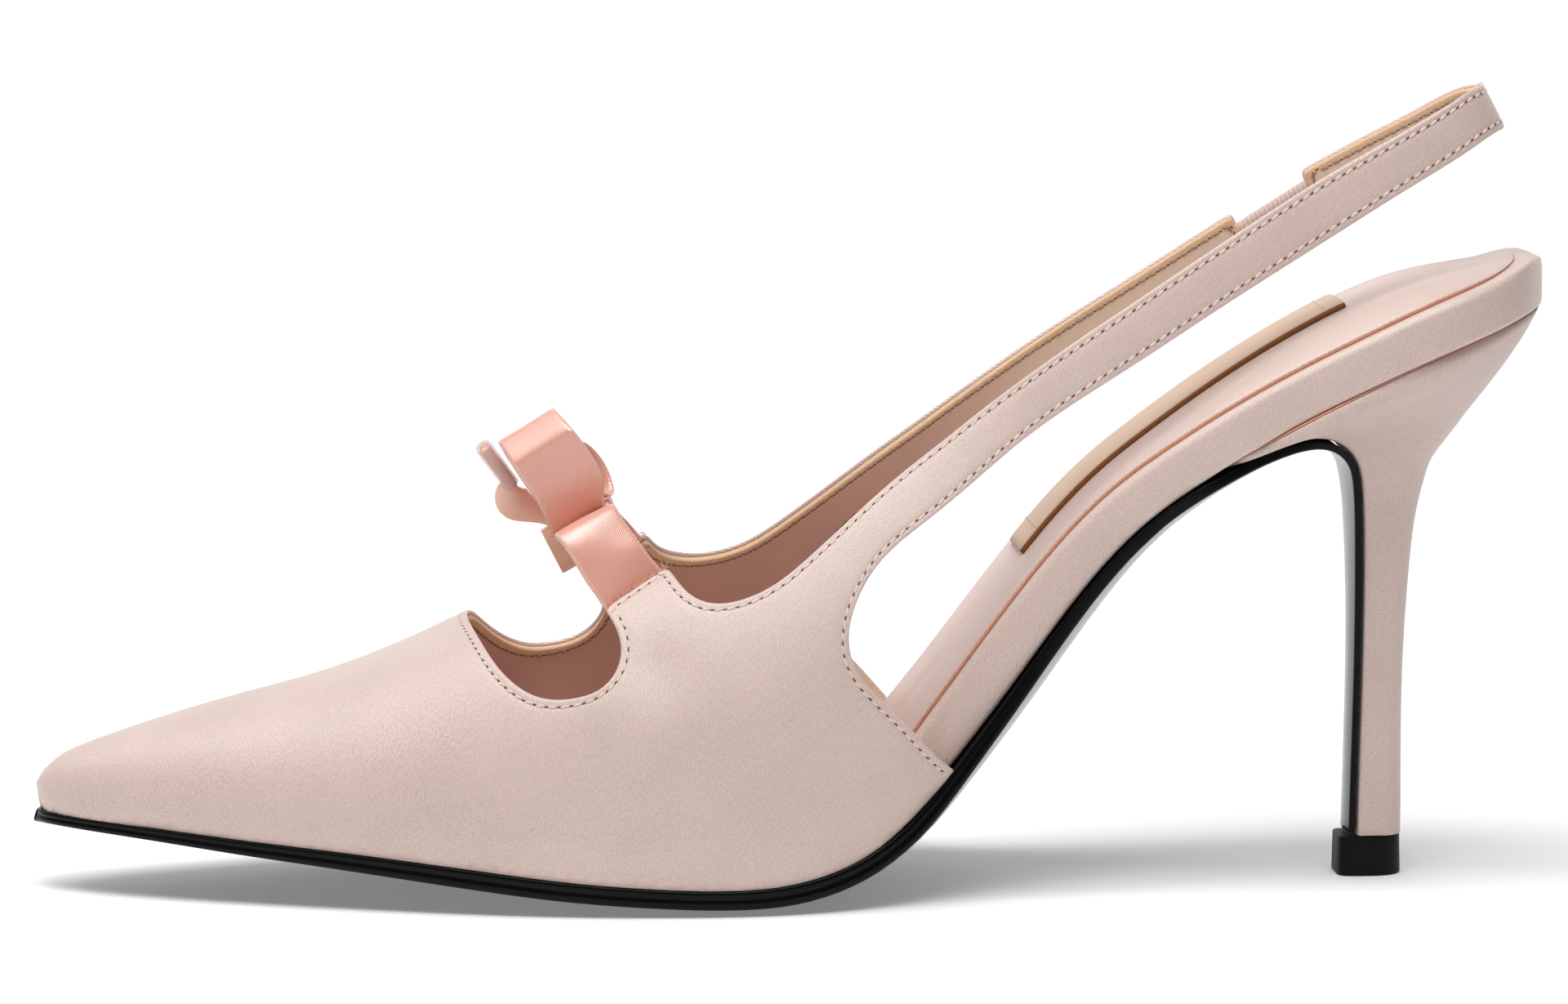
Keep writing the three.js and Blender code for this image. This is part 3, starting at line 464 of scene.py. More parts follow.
# Stage, in metres: background paper as (y, height) and half width, lights as place, size and watts.
PAPER_SWEEP = ((-3, 0), (1.5, 0), (2.0, 0.05), (2.5, 0.3), (2.75, 0.75), (2.85, 1.5), (2.85, 3.4))
PAPER_HALF = 4
LIGHTS = (
    ("key softbox", (0.0, -0.3, 0.95), 0.6, 7.0),
    ("left softbox", (-0.45, -0.05, 0.95), 0.6, 4.2),
)
LIGHT_AIM = Vector((0, 0, 0.05))
WORLD_LIGHT = 0.06


# Sizes and colours that a user may change

def linear(code):
    """Linear colour of an sRGB hex code."""
    parts = [int(code[i:i + 2], 16) / 255 for i in (1, 3, 5)]
    return tuple(p / 12.92 if p <= 0.04045 else ((p + 0.055) / 1.055) ** 2.4 for p in parts)


def distance(name, description, default):
    return FloatProperty(
        name=name, description=description, default=default * MM, subtype="DISTANCE", unit="LENGTH")


def colour(name, description, code):
    return FloatVectorProperty(
        name=name, description=description, default=linear(code), subtype="COLOR", size=3, min=0, max=1)


class ShoeSizes(bpy.types.PropertyGroup):
    """Sizes of the soft pieces."""
    satin: distance("Satin", "Thickness of the satin with its stiffener", 0.8)
    wall: distance("Wall", "Thickness of satin and lining together", 1.8)
    stitch_pitch: distance("Stitch pitch", "From one stitch to the next", 1.96)
    stitch_length: distance("Stitch length", "Visible length of one stitch", 1.45)
    thread: distance("Thread", "Width of the sewing thread", 0.46)
    ribbon: distance("Ribbon", "Thickness of the ribbon", 0.45)


class ShoeColours(bpy.types.PropertyGroup):
    """Colours of the finishes."""
    satin: colour("Satin", "Blush satin of upper, sock, rim and heel", "#E1C8BE")
    lining: colour("Lining", "Kid leather inside the upper", "#D6AE9E")
    raw_edge: colour("Raw edge", "Cut edge of the lining", "#EBC7A4")
    ribbon: colour("Ribbon", "Satin ribbon of the bow", "#EBAA97")
    coral: colour("Coral edge", "Raw edge of the sock and seam of the heel", "#F4A98B")
    label: colour("Label", "Leather patch on the sock", "#CDB19A")
    thread: colour("Thread", "Sewing thread", "#EEDAD0")
    black: colour("Black", "Sole and top piece", "#080809")


def sizes():
    return bpy.context.scene.shoe_sizes


def colours():
    return bpy.context.scene.shoe_colours


# Materials

def node(tree, kind, inputs=None, **settings):
    """Adds a node: settings are its own values, inputs are values or outputs to link, by socket."""
    made = tree.nodes.new(kind)
    for name, value in settings.items():
        setattr(made, name, value)
    for name, value in (inputs or {}).items():
        if isinstance(value, bpy.types.NodeSocket):
            tree.links.new(value, made.inputs[name])
        else:
            made.inputs[name].default_value = value
    return made


def surface(name, shader):
    """Empty material with its main shader; shader holds that shader's own values."""
    material = bpy.data.materials.new(name)
    material.use_nodes = True
    tree = material.node_tree
    main = next(n for n in tree.nodes if n.type == "BSDF_PRINCIPLED")
    for socket, value in shader.items():
        main.inputs[socket].default_value = value
    return material, tree, main


def connect(tree, main, outputs):
    """Links outputs to sockets of the main shader."""
    for socket, output in outputs.items():
        tree.links.new(output, main.inputs[socket])


def rgba(value, shade=1.0):
    """A colour, made darker or lighter, with full alpha."""
    return (*(min(1.0, c * shade) for c in value), 1.0)


def cloth_place(tree, turn=0.0, stretch=(1, 1, 1)):
    """The piece's own pattern coordinates, in millimetres, turned by an angle."""
    uv = node(tree, "ShaderNodeUVMap", uv_map="cloth")
    turned = {"Vector": uv.outputs["UV"], "Rotation": (0, 0, turn), "Scale": stretch}
    return node(tree, "ShaderNodeMapping", turned).outputs["Vector"]


WAVE_PERIOD = 2 * math.pi / 20  # length of one wave of the wave texture at scale 1


def blush_satin():
    """Duchesse satin: warp threads float over the weft, so it has a soft broad sheen and fine twill lines.

    Real twill lines are about 0.25 mm apart, drawn coarser so that they show.
    """
    base = colours().satin
    twill_mm = 0.36
    twill_turn = math.radians(72)
    material, tree, main = surface("duchesse satin, blush", {
        "Roughness": 0.42, "IOR": 1.5, "Specular IOR Level": 0.9, "Sheen Weight": 0.2,
        "Sheen Roughness": 0.4, "Sheen Tint": (1.0, 0.97, 0.96, 1.0)})
    lines = node(tree, "ShaderNodeTexWave", {
        "Vector": cloth_place(tree, twill_turn), "Scale": WAVE_PERIOD / twill_mm, "Distortion": 1.5,
        "Detail": 2.0, "Detail Scale": 1.4, "Detail Roughness": 0.6,
    })
    slubs = node(tree, "ShaderNodeTexNoise", {
        "Vector": cloth_place(tree, twill_turn, (1.0, 0.5, 1)), "Scale": 1.2 / twill_mm, "Detail": 3.0,
    })
    # Clouds about 17 mm wide.
    drift = node(tree, "ShaderNodeTexNoise", {"Vector": cloth_place(tree), "Scale": 0.06, "Detail": 2.0})
    specks = node(tree, "ShaderNodeMapRange", {
        "Value": slubs.outputs["Fac"], "From Min": 0.35, "From Max": 0.65})
    weave = node(tree, "ShaderNodeMix", {
        "Factor": 0.35, 2: lines.outputs["Fac"], 3: specks.outputs["Result"]}, data_type="FLOAT")
    wide = node(tree, "ShaderNodeMix", {
        "Factor": 0.25, 2: weave.outputs[0], 3: drift.outputs["Fac"]}, data_type="FLOAT")
    tint = node(tree, "ShaderNodeMix", {
        "Factor": wide.outputs[0], 6: rgba(base, 0.66), 7: rgba(base, 1.25)}, data_type="RGBA")
    bump = node(tree, "ShaderNodeBump", {
        "Strength": 0.7, "Distance": 0.07 * MM, "Height": weave.outputs[0]})
    connect(tree, main, {"Base Color": tint.outputs[2], "Normal": bump.outputs["Normal"]})
    return material


# How light comes through one layer of ribbon.
RIBBON_GLOW = {"Subsurface Radius": (1.0, 0.6, 0.5), "Subsurface Scale": 1.5 * MM}


def ribbon_satin(name, base, glow=0.0):
    """Single-face satin ribbon: smooth floats that flash on folds, with a corded selvedge along both edges.

    Its threads are about 0.15 mm apart, drawn coarser so that they show. glow: light that comes through it.
    """
    material, tree, main = surface(name, {
        "Roughness": 0.26, "IOR": 1.55, "Specular IOR Level": 1.0, "Sheen Weight": 0.2,
        "Sheen Roughness": 0.3, "Sheen Tint": (1.0, 0.85, 0.8, 1.0), "Subsurface Weight": glow,
        **RIBBON_GLOW})
    ribs = node(tree, "ShaderNodeTexWave", {
        "Vector": cloth_place(tree, math.radians(35)), "Scale": WAVE_PERIOD / 0.32, "Distortion": 1.4,
        "Detail": 1.0, "Detail Scale": 2.0,
    })
    # Streaks about 3 mm long and 0.25 mm wide.
    warp = node(tree, "ShaderNodeTexNoise", {
        "Vector": cloth_place(tree, 0, (0.25, 3.0, 1)), "Scale": 1.4, "Detail": 2.0})
    weave = node(tree, "ShaderNodeMix", {
        "Factor": 0.4, 2: ribs.outputs["Fac"], 3: warp.outputs["Fac"]}, data_type="FLOAT")
    cords = node(tree, "ShaderNodeTexWave", {
        "Vector": cloth_place(tree), "Scale": WAVE_PERIOD / 0.7, "Distortion": 0.3,
    })
    place = node(tree, "ShaderNodeSeparateXYZ", {"Vector": cloth_place(tree)})
    from_middle = node(tree, "ShaderNodeMath", {0: place.outputs["Y"]}, operation="ABSOLUTE")
    selvedge = node(tree, "ShaderNodeMapRange", {
        "Value": from_middle.outputs[0], "From Min": 4.3, "From Max": 4.7}, interpolation_type="SMOOTHSTEP")
    relief = node(tree, "ShaderNodeMix", {
        "Factor": selvedge.outputs["Result"], 2: weave.outputs[0], 3: cords.outputs["Fac"],
    }, data_type="FLOAT")
    tint = node(tree, "ShaderNodeMix", {
        "Factor": relief.outputs[0], 6: rgba(base, 0.94), 7: rgba(base, 1.04)}, data_type="RGBA")
    pale = node(tree, "ShaderNodeMath", {0: selvedge.outputs["Result"], 1: 0.35}, operation="MULTIPLY")
    edged = node(tree, "ShaderNodeMix", {
        "Factor": pale.outputs[0], 6: tint.outputs[2], 7: rgba(linear("#FBD9CC"))}, data_type="RGBA")
    bump = node(tree, "ShaderNodeBump", {
        "Strength": 0.55, "Distance": 0.06 * MM, "Height": relief.outputs[0]})
    connect(tree, main, {"Base Color": edged.outputs[2], "Normal": bump.outputs["Normal"]})
    return material


def ribbon_reverse():
    """Wrong side of the ribbon: crosswise weft threads on top, paler and matt; its base is also painted
    lighter, as painted light for the shade the tail hangs in.
    """
    # Partly painted light: paler than the wrong side's own tone, to brighten the tail in its shade.
    base = linear("#FFCDBC")
    material, tree, main = surface("satin ribbon, wrong side", {
        "Roughness": 0.7, "Sheen Weight": 0.4, "Subsurface Weight": 0.6, **RIBBON_GLOW})
    weft = node(tree, "ShaderNodeTexWave", {
        "Vector": cloth_place(tree), "Scale": WAVE_PERIOD / 0.4, "Distortion": 1.0, "Detail": 2.0,
    })
    tint = node(tree, "ShaderNodeMix", {
        "Factor": weft.outputs["Fac"], 6: rgba(base, 0.95), 7: rgba(base, 1.05)}, data_type="RGBA")
    bump = node(tree, "ShaderNodeBump", {
        "Strength": 0.25, "Distance": 0.05 * MM, "Height": weft.outputs["Fac"]})
    connect(tree, main, {"Base Color": tint.outputs[2], "Normal": bump.outputs["Normal"]})
    return material


def leather(name, base, grain_mm, depth, roughness):
    """Dyed and rolled leather: fine rounded grain, a low even sheen and faint clouds in its colour."""
    material, tree, main = surface(name, {"Roughness": roughness, "IOR": 1.48, "Specular IOR Level": 0.35})
    place = node(tree, "ShaderNodeTexCoord").outputs["Object"]
    grain = node(tree, "ShaderNodeTexVoronoi", {
        "Vector": place, "Scale": 1 / (grain_mm * MM), "Randomness": 1.0}, feature="SMOOTH_F1")
    clouds = node(tree, "ShaderNodeTexNoise", {"Vector": place, "Scale": 1 / (9 * MM), "Detail": 4.0})
    tint = node(tree, "ShaderNodeMix", {
        "Factor": clouds.outputs["Fac"], 6: rgba(base, 0.9), 7: rgba(base, 1.08)}, data_type="RGBA")
    bump = node(tree, "ShaderNodeBump", {
        "Strength": 0.3, "Distance": depth * MM, "Height": grain.outputs["Distance"]})
    connect(tree, main, {"Base Color": tint.outputs[2], "Normal": bump.outputs["Normal"]})
    return material


def kid_lining():
    """Kid lining leather: close grain and a low sheen; along the sling strap its colour is painted paler, as
    painted light, because the strap's lining gets more light than the collar's.
    """
    material = leather("kid lining leather", colours().lining, 0.7, 0.06, 0.55)
    tree = material.node_tree
    main = next(n for n in tree.nodes if n.type == "BSDF_PRINCIPLED")
    skin = main.inputs["Base Color"].links[0].from_socket
    along = node(tree, "ShaderNodeSeparateXYZ", {"Vector": cloth_place(tree)})
    # Painted light: the lining turns paler along the sling strap, where it stands in more light than deep in
    # the collar.
    strap = node(tree, "ShaderNodeMapRange", {
        "Value": along.outputs["X"], "From Min": 140.0, "From Max": 200.0}, interpolation_type="SMOOTHSTEP")
    pale = node(tree, "ShaderNodeMix", {
        "Factor": strap.outputs["Result"], 6: skin, 7: rgba(linear("#EAD2BE"))}, data_type="RGBA")
    connect(tree, main, {"Base Color": pale.outputs[2]})
    return material


def raw_edge(name, base):
    """Cut edge of leather: open fibres, matt, streaked lighter and darker along the cut."""
    material, tree, main = surface(name, {"Roughness": 0.85, "Specular IOR Level": 0.2})
    place = node(tree, "ShaderNodeTexCoord").outputs["Object"]
    fibres = node(tree, "ShaderNodeTexNoise", {
        "Vector": place, "Scale": 1 / (0.45 * MM), "Detail": 3.0, "Roughness": 0.7})
    tint = node(tree, "ShaderNodeMix", {
        "Factor": fibres.outputs["Fac"], 6: rgba(base, 0.68), 7: rgba(base, 1.2)}, data_type="RGBA")
    bump = node(tree, "ShaderNodeBump", {
        "Strength": 0.6, "Distance": 0.12 * MM, "Height": fibres.outputs["Fac"]})
    connect(tree, main, {"Base Color": tint.outputs[2], "Normal": bump.outputs["Normal"]})
    return material


def spun_thread(name, base):
    """Spun polyester thread: two plies twisted together, with a low sheen."""
    material, tree, main = surface(name, {"Roughness": 0.5, "Sheen Weight": 0.3})
    place = node(tree, "ShaderNodeTexCoord").outputs["Object"]
    twist = node(tree, "ShaderNodeTexWave", {
        "Vector": place, "Scale": WAVE_PERIOD / (0.3 * MM), "Distortion": 2.0,
    }, bands_direction="DIAGONAL")
    tint = node(tree, "ShaderNodeMix", {
        "Factor": twist.outputs["Fac"], 6: rgba(base, 0.8), 7: rgba(base, 1.08)}, data_type="RGBA")
    connect(tree, main, {"Base Color": tint.outputs[2]})
    return material


def needle_hole():
    """Needle hole: cloth pushed down into shadow, dark brown and matt."""
    material, tree, main = surface("needle hole in satin", {"Roughness": 0.9, "Specular IOR Level": 0.1})
    place = node(tree, "ShaderNodeTexCoord").outputs["Object"]
    fluff = node(tree, "ShaderNodeTexNoise", {"Vector": place, "Scale": 1 / (0.2 * MM)})
    tint = node(tree, "ShaderNodeMix", {
        "Factor": fluff.outputs["Fac"], 6: rgba(linear("#5A382B")), 7: rgba(linear("#7E5848"))},
        data_type="RGBA")
    connect(tree, main, {"Base Color": tint.outputs[2]})
    return material


def polished_black(name, specular, roughness):
    """Sole leather, dyed, waxed and burnished: a deep black with clear but slightly wavy reflections."""
    base = colours().black
    material, tree, main = surface(name, {"IOR": 1.5, "Specular IOR Level": specular})
    place = node(tree, "ShaderNodeTexCoord").outputs["Object"]
    rub = node(tree, "ShaderNodeTexNoise", {"Vector": place, "Scale": 1 / (4 * MM), "Detail": 5.0})
    dull = node(tree, "ShaderNodeMapRange", {
        "Value": rub.outputs["Fac"], "To Min": 0.75 * roughness, "To Max": 1.25 * roughness})
    tint = node(tree, "ShaderNodeMix", {
        "Factor": rub.outputs["Fac"], 6: rgba(base, 0.8), 7: rgba(base, 1.6)}, data_type="RGBA")
    bump = node(tree, "ShaderNodeBump", {
        "Strength": 0.15, "Distance": 0.05 * MM, "Height": rub.outputs["Fac"]})
    connect(tree, main, {
        "Roughness": dull.outputs["Result"], "Base Color": tint.outputs[2],
        "Normal": bump.outputs["Normal"]})
    return material


def top_piece_black():
    """Moulded polyurethane top piece: black, semi-matt, faintly pebbled by its mould."""
    base = colours().black
    shader = {"Roughness": 0.5, "Specular IOR Level": 0.16}
    material, tree, main = surface("moulded polyurethane, black", shader)
    place = node(tree, "ShaderNodeTexCoord").outputs["Object"]
    pebble = node(tree, "ShaderNodeTexNoise", {"Vector": place, "Scale": 1 / (0.4 * MM), "Detail": 3.0})
    tint = node(tree, "ShaderNodeMix", {
        "Factor": pebble.outputs["Fac"], 6: rgba(base, 0.9), 7: rgba(base, 2.2)}, data_type="RGBA")
    bump = node(tree, "ShaderNodeBump", {
        "Strength": 0.25, "Distance": 0.05 * MM, "Height": pebble.outputs["Fac"]})
    connect(tree, main, {"Base Color": tint.outputs[2], "Normal": bump.outputs["Normal"]})
    return material


def woven_elastic():
    """Woven elastic: fine crosswise cords with fluffy yarn over rubber, matt."""
    base = colours().satin
    material, tree, main = surface("woven elastic, pale pink", {"Roughness": 0.8, "Sheen Weight": 0.4})
    cords = node(tree, "ShaderNodeTexWave", {
        "Vector": cloth_place(tree), "Scale": WAVE_PERIOD / 0.8, "Distortion": 0.6, "Detail": 2.0,
    })
    fluff = node(tree, "ShaderNodeTexNoise", {"Vector": cloth_place(tree), "Scale": 1 / 0.25, "Detail": 4.0})
    weave = node(tree, "ShaderNodeMix", {
        "Factor": 0.5, 2: cords.outputs["Fac"], 3: fluff.outputs["Fac"]}, data_type="FLOAT")
    tint = node(tree, "ShaderNodeMix", {
        "Factor": weave.outputs[0], 6: rgba(base, 0.72), 7: rgba(base, 1.12)}, data_type="RGBA")
    bump = node(tree, "ShaderNodeBump", {
        "Strength": 0.8, "Distance": 0.15 * MM, "Height": weave.outputs[0]})
    connect(tree, main, {"Base Color": tint.outputs[2], "Normal": bump.outputs["Normal"]})
    return material


def clear_sheath():
    """Clear polyester film, shrunk on: glossy, nearly colourless, so the rolled ribbon shows through."""
    shader = {"Base Color": rgba(linear("#F3DAD4")), "Roughness": 0.1, "IOR": 1.5, "Alpha": 0.42}
    material, tree, main = surface("clear polyester film", shader)
    place = node(tree, "ShaderNodeTexCoord").outputs["Object"]
    ripple = node(tree, "ShaderNodeTexNoise", {"Vector": place, "Scale": 1 / (1.5 * MM)})
    bump = node(tree, "ShaderNodeBump", {
        "Strength": 0.12, "Distance": 0.05 * MM, "Height": ripple.outputs["Fac"]})
    connect(tree, main, {"Normal": bump.outputs["Normal"]})
    return material


def background_paper():
    """White background paper: matt, with a fine tooth, and glowing more towards the back: painted light that
    keeps the far paper white and softens the shadows near the shoe.
    """
    shader = {"Roughness": 0.9, "Specular IOR Level": 0.1, "Emission Color": (1, 1, 1, 1)}
    material, tree, main = surface("white background paper", shader)
    place = node(tree, "ShaderNodeTexCoord").outputs["Object"]
    tooth = node(tree, "ShaderNodeTexNoise", {"Vector": place, "Scale": 1 / (2.5 * MM)})
    tint = node(tree, "ShaderNodeMix", {
        "Factor": tooth.outputs["Fac"], 6: (0.9, 0.9, 0.9, 1), 7: (0.93, 0.93, 0.93, 1)}, data_type="RGBA")
    away = node(tree, "ShaderNodeSeparateXYZ", {"Vector": place})
    # Painted light: the paper glows, from 0.2 near the shoe to 0.8 towards the back.
    lit = node(tree, "ShaderNodeMapRange", {
        "Value": away.outputs["Y"], "From Min": 0.1, "From Max": 1.5, "To Min": 0.2, "To Max": 0.8})
    connect(tree, main, {"Base Color": tint.outputs[2], "Emission Strength": lit.outputs["Result"]})
    return material


FINISHES = {}


def finish(name):
    """The named finish, made once."""
    makers = {
        "satin": blush_satin,
        "ribbon": lambda: ribbon_satin("polyester satin ribbon, salmon", colours().ribbon),
        # Pouch ribbon: its base is painted lighter than the salmon ribbon, as painted light for the shade it
        # sits in; some light also comes through it.
        "thin ribbon": lambda: ribbon_satin(
            "satin ribbon, one layer with light through it", linear("#FFD0BC"), 0.6),
        "ribbon back": ribbon_reverse,
        "lining": kid_lining,
        "raw edge": lambda: raw_edge("cut edge of lining leather", colours().raw_edge),
        "coral": lambda: raw_edge("coral raw edge", colours().coral),
        "label": lambda: leather("beige calf leather", colours().label, 0.5, 0.05, 0.5),
        "label edge": lambda: raw_edge("cut edge of calf leather", linear("#93623A")),
        "thread": lambda: spun_thread("spun thread, blush", colours().thread),
        "lining thread": lambda: spun_thread("spun thread, tan", linear("#A37C66")),
        "fibre": lambda: spun_thread("loose ribbon fibre, coral", linear("#EFAE93")),
        "hole": needle_hole,
        "sole": lambda: polished_black("waxed sole leather, black", 0.4, 0.2),
        "sole edge": lambda: polished_black("inked sole edge, black", 0.12, 0.3),
        "top piece": top_piece_black,
        "elastic": woven_elastic,
        "sheath": clear_sheath,
        "paper": background_paper,
    }
    if name not in FINISHES:
        FINISHES[name] = makers[name]()
    return FINISHES[name]


# Meshes

NO_LENGTH = 1e-7  # metres under which an edge counts as none


def make_piece(name, points, faces, finishes, stands_for=(), uv=None, kinds=None, weld=0.0):
    """Piece from points in mm.

    uv: a place in mm for each corner of each face. kinds: which of the finishes each face has.
    weld: distance within which points are merged.
    """
    mesh = bpy.data.meshes.new(name)
    mesh.from_pydata((np.asarray(points) * MM).tolist(), [], [list(map(int, f)) for f in faces])
    for kind in finishes:
        mesh.materials.append(finish(kind))
    if kinds is not None:
        mesh.polygons.foreach_set("material_index", np.asarray(kinds, np.int32))
    if uv is not None:
        layer = mesh.uv_layers.new(name="cloth")
        layer.data.foreach_set("uv", np.asarray(uv, np.float32).ravel())
    mesh.polygons.foreach_set("use_smooth", np.ones(len(mesh.polygons), bool))
    if weld:
        edit = bmesh.new()
        edit.from_mesh(mesh)
        bmesh.ops.remove_doubles(edit, verts=edit.verts, dist=weld * MM)
        bmesh.ops.dissolve_degenerate(edit, edges=edit.edges, dist=NO_LENGTH)
        edit.to_mesh(mesh)
        edit.free()
    mesh.update()
    return put(mesh, name, stands_for)


def put(mesh, name, stands_for=()):
    """Adds the mesh as a piece of the shoe, in place of the nodes that it stands for."""
    piece = bpy.data.objects.new(name + "_dressed" if stands_for else name, mesh)
    bpy.context.scene.collection.objects.link(piece)
    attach(piece, "root")
    if stands_for:
        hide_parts(*stands_for)
    return piece


def corner_places(places, faces):
    """A place for each corner of each face, from one place for each point."""
    return np.concatenate([np.asarray(places)[list(f)] for f in faces])


def loft(rings, capped=True, rounds=None):
    """Skin over closed rings of equal length: points, faces and pattern places, facing outwards.

    rounds: pattern places round a ring, one more than its points, where they aren't its own lengths.
    """
    rings = np.asarray(rings, float)
    count, around, _ = rings.shape
    points = rings.reshape(-1, 3)
    if rounds is None:
        round_mm = run_lengths(np.concatenate([rings, rings[:, :1]], axis=1))
    else:
        round_mm = np.tile(rounds, (count, 1))
    along_mm = run_lengths(rings.mean(axis=1))
    faces = []
    places = []
    for i in range(count - 1):
        for j in range(around):
            k = (j + 1) % around
            faces.append([i * around + j, i * around + k, (i + 1) * around + k, (i + 1) * around + j])
            places.append([
                (along_mm[i], round_mm[i, j]), (along_mm[i], round_mm[i, j + 1]),
                (along_mm[i + 1], round_mm[i + 1, j + 1]), (along_mm[i + 1], round_mm[i + 1, j])])
    if capped:
        for ring, start in ((list(range(around))[::-1], 0), (list(range(around)), (count - 1) * around)):
            faces.append([start + j for j in ring])
            places.append([(points[start + j][0], points[start + j][1]) for j in ring])
    whole = sum(
        float(np.dot(points[f[0]], np.cross(points[f[m]], points[f[m + 1]])))
        for f in faces for m in range(1, len(f) - 1))
    if whole < 0:
        faces = [f[::-1] for f in faces]
        places = [p[::-1] for p in places]
    return points, faces, np.concatenate([np.asarray(p, float) for p in places])


# Upper

def strap_axis(x):
    return STRAP_AXIS.height + STRAP_AXIS.rise * (np.asarray(x, float) - STRAP_AXIS.x)


def section(x):
    """Base, belly and crown heights of the last's section at x."""
    belly = LAST.belly(x)
    base = np.minimum(BOTTOM.height(x) - TUCK, belly - 4)
    return base, belly, np.maximum(LAST.crown(x), belly + 0.5)


def last_point(angle, share, side):
    """Points of the satin's outside. share runs from 0 at the sole line to 1 at the crown."""
    angle, share, side = np.broadcast_arrays(angle, share, side)
    x = TOE_TIP + (LOOP_END - TOE_TIP) * (1 - np.cos(angle)) / 2
    widest = np.maximum(0, np.where(side < 0, LAST.outer(x), LAST.inner(x)))
    narrow = np.clip(np.where(side < 0, BOTTOM.outer(x), BOTTOM.inner(x)), 0, widest)
    base, belly, crown = section(x)
    low = np.clip(share / BELLY_SHARE, 0, 1)
    high = np.clip((share - BELLY_SHARE) / (1 - BELLY_SHARE), 0, 1) * np.pi / 2
    power = 2 / LAST.full(x)
    below = share < BELLY_SHARE
    width = np.where(
        below, narrow + (widest - narrow) * np.sin(low * np.pi / 2), widest * np.cos(high).clip(0) ** power)
    height = np.where(below, base + (belly - base) * low, belly + (crown - belly) * np.sin(high) ** power)
    width = width - HOLLOW.depth * np.exp(
        -((x - HOLLOW.x) / HOLLOW.length) ** 2 - ((height - HOLLOW.height) / HOLLOW.tall) ** 2)
    under = TOE_TUCK * (1 - low) ** 1.5 * np.exp(-(x - TOE) / 5) * below
    return np.stack([x + under - LAST.lean(x) * (height - strap_axis(x)), side * width, height], axis=-1)


def share_at(x, height):
    """Where round the section a height lies."""
    base, belly, crown = section(x)
    low = BELLY_SHARE * (height - base) / (belly - base)
    up = np.clip((height - belly) / (crown - belly), 0, 1)
    high = np.arcsin(up ** (LAST.full(x) / 2)) / (np.pi / 2)
    return np.where(height < belly, low, BELLY_SHARE + (1 - BELLY_SHARE) * high)


# The upper's flat pattern: first coordinate along the shoe, second round the section from the crown,
# negative on the outer side, both as lengths on the surface.
ANGLES = np.linspace(0, np.pi, 401)
SHARES = np.linspace(1, 0, 221)
NUDGE = 0.06  # step to each side when a direction on the surface is worked out


def pattern_lengths():
    """Lengths along the shoe at the angles, and on each side round its sections at the shares."""
    x = TOE_TIP + (LOOP_END - TOE_TIP) * (1 - np.cos(ANGLES)) / 2
    _, belly, crown = section(x)
    line = np.stack([x, LAST.outer(x), (belly + crown) / 2], axis=-1)
    rounds = {side: run_lengths(last_point(ANGLES[:, None], SHARES[None, :], side)) for side in (-1, 1)}
    return run_lengths(line), rounds


ALONG, ROUNDS = pattern_lengths()


def pattern_row(angle, side):
    """Lengths round the section at the given angles."""
    place = np.clip(angle / np.pi * (len(ANGLES) - 1), 0, len(ANGLES) - 1.001)
    i = place.astype(int)
    part = (place - i)[:, None]
    rows = {s: ROUNDS[s][i] * (1 - part) + ROUNDS[s][i + 1] * part for s in (-1, 1)}
    return np.where(side[:, None] < 0, rows[-1], rows[1])


def to_pattern(rows, side):
    """Pattern places of (x, height) rows on one side."""
    x, height = np.asarray(rows, float).T
    angle = round_ended(TOE_TIP, LOOP_END, x)
    share = share_at(x, height)
    lengths = pattern_row(angle, np.full(len(x), side))
    round_mm = [np.interp(1 - s, 1 - SHARES, row) for s, row in zip(share, lengths)]
    return np.stack([np.interp(angle, ANGLES, ALONG), side * np.asarray(round_mm)], axis=1)


def on_last(places):
    """Points of the last's surface at pattern places."""
    a, b = np.asarray(places, float).T
    side = np.where(b < 0, -1, 1)
    angle = np.interp(a, ALONG, ANGLES)
    lengths = pattern_row(angle, side)
    wanted = np.minimum(np.abs(b), lengths[:, -1])
    i = np.clip((lengths <= wanted[:, None]).sum(axis=1) - 1, 0, len(SHARES) - 2)
    rows = np.arange(len(a))
    part = (wanted - lengths[rows, i]) / np.maximum(1e-9, lengths[rows, i + 1] - lengths[rows, i])
    return last_point(angle, SHARES[i] + part * (SHARES[i + 1] - SHARES[i]), side)


def wall(places, depth=0.0):
    """Points of the upper at pattern places, sunk below its outside, and the outward directions there."""
    places = np.asarray(places, float)
    forward = on_last(places + (NUDGE, 0)) - on_last(places - (NUDGE, 0))
    across = on_last(places + (0, NUDGE)) - on_last(places - (0, NUDGE))
    out = np.cross(forward, across)
    out /= np.maximum(1e-12, np.linalg.norm(out, axis=1))[:, None]
    points = on_last(places) - out * np.reshape(np.broadcast_to(depth, len(places)), (-1, 1))
    ends = (places[:, 0] < 1e-6) | (places[:, 0] > ALONG[-1] - 1e-6)
    points[ends, 1] = 0
    out[ends, 1] = 0
    return points, out


def through(controls, spacing):
    """Even points along a smooth curve through the given ones."""
    controls = np.asarray(controls, float)
    steps = np.linalg.norm(np.diff(controls, axis=0), axis=1) ** 0.5
    us = np.concatenate([[0], np.cumsum(steps)])
    if len(controls) == 2:
        dense = controls
    else:
        fine = np.linspace(0, us[-1], 40 * len(us))
        dense = np.stack([smooth(us, controls[:, k])(fine) for k in range(controls.shape[1])], axis=1)
    return evenly(dense, spacing)


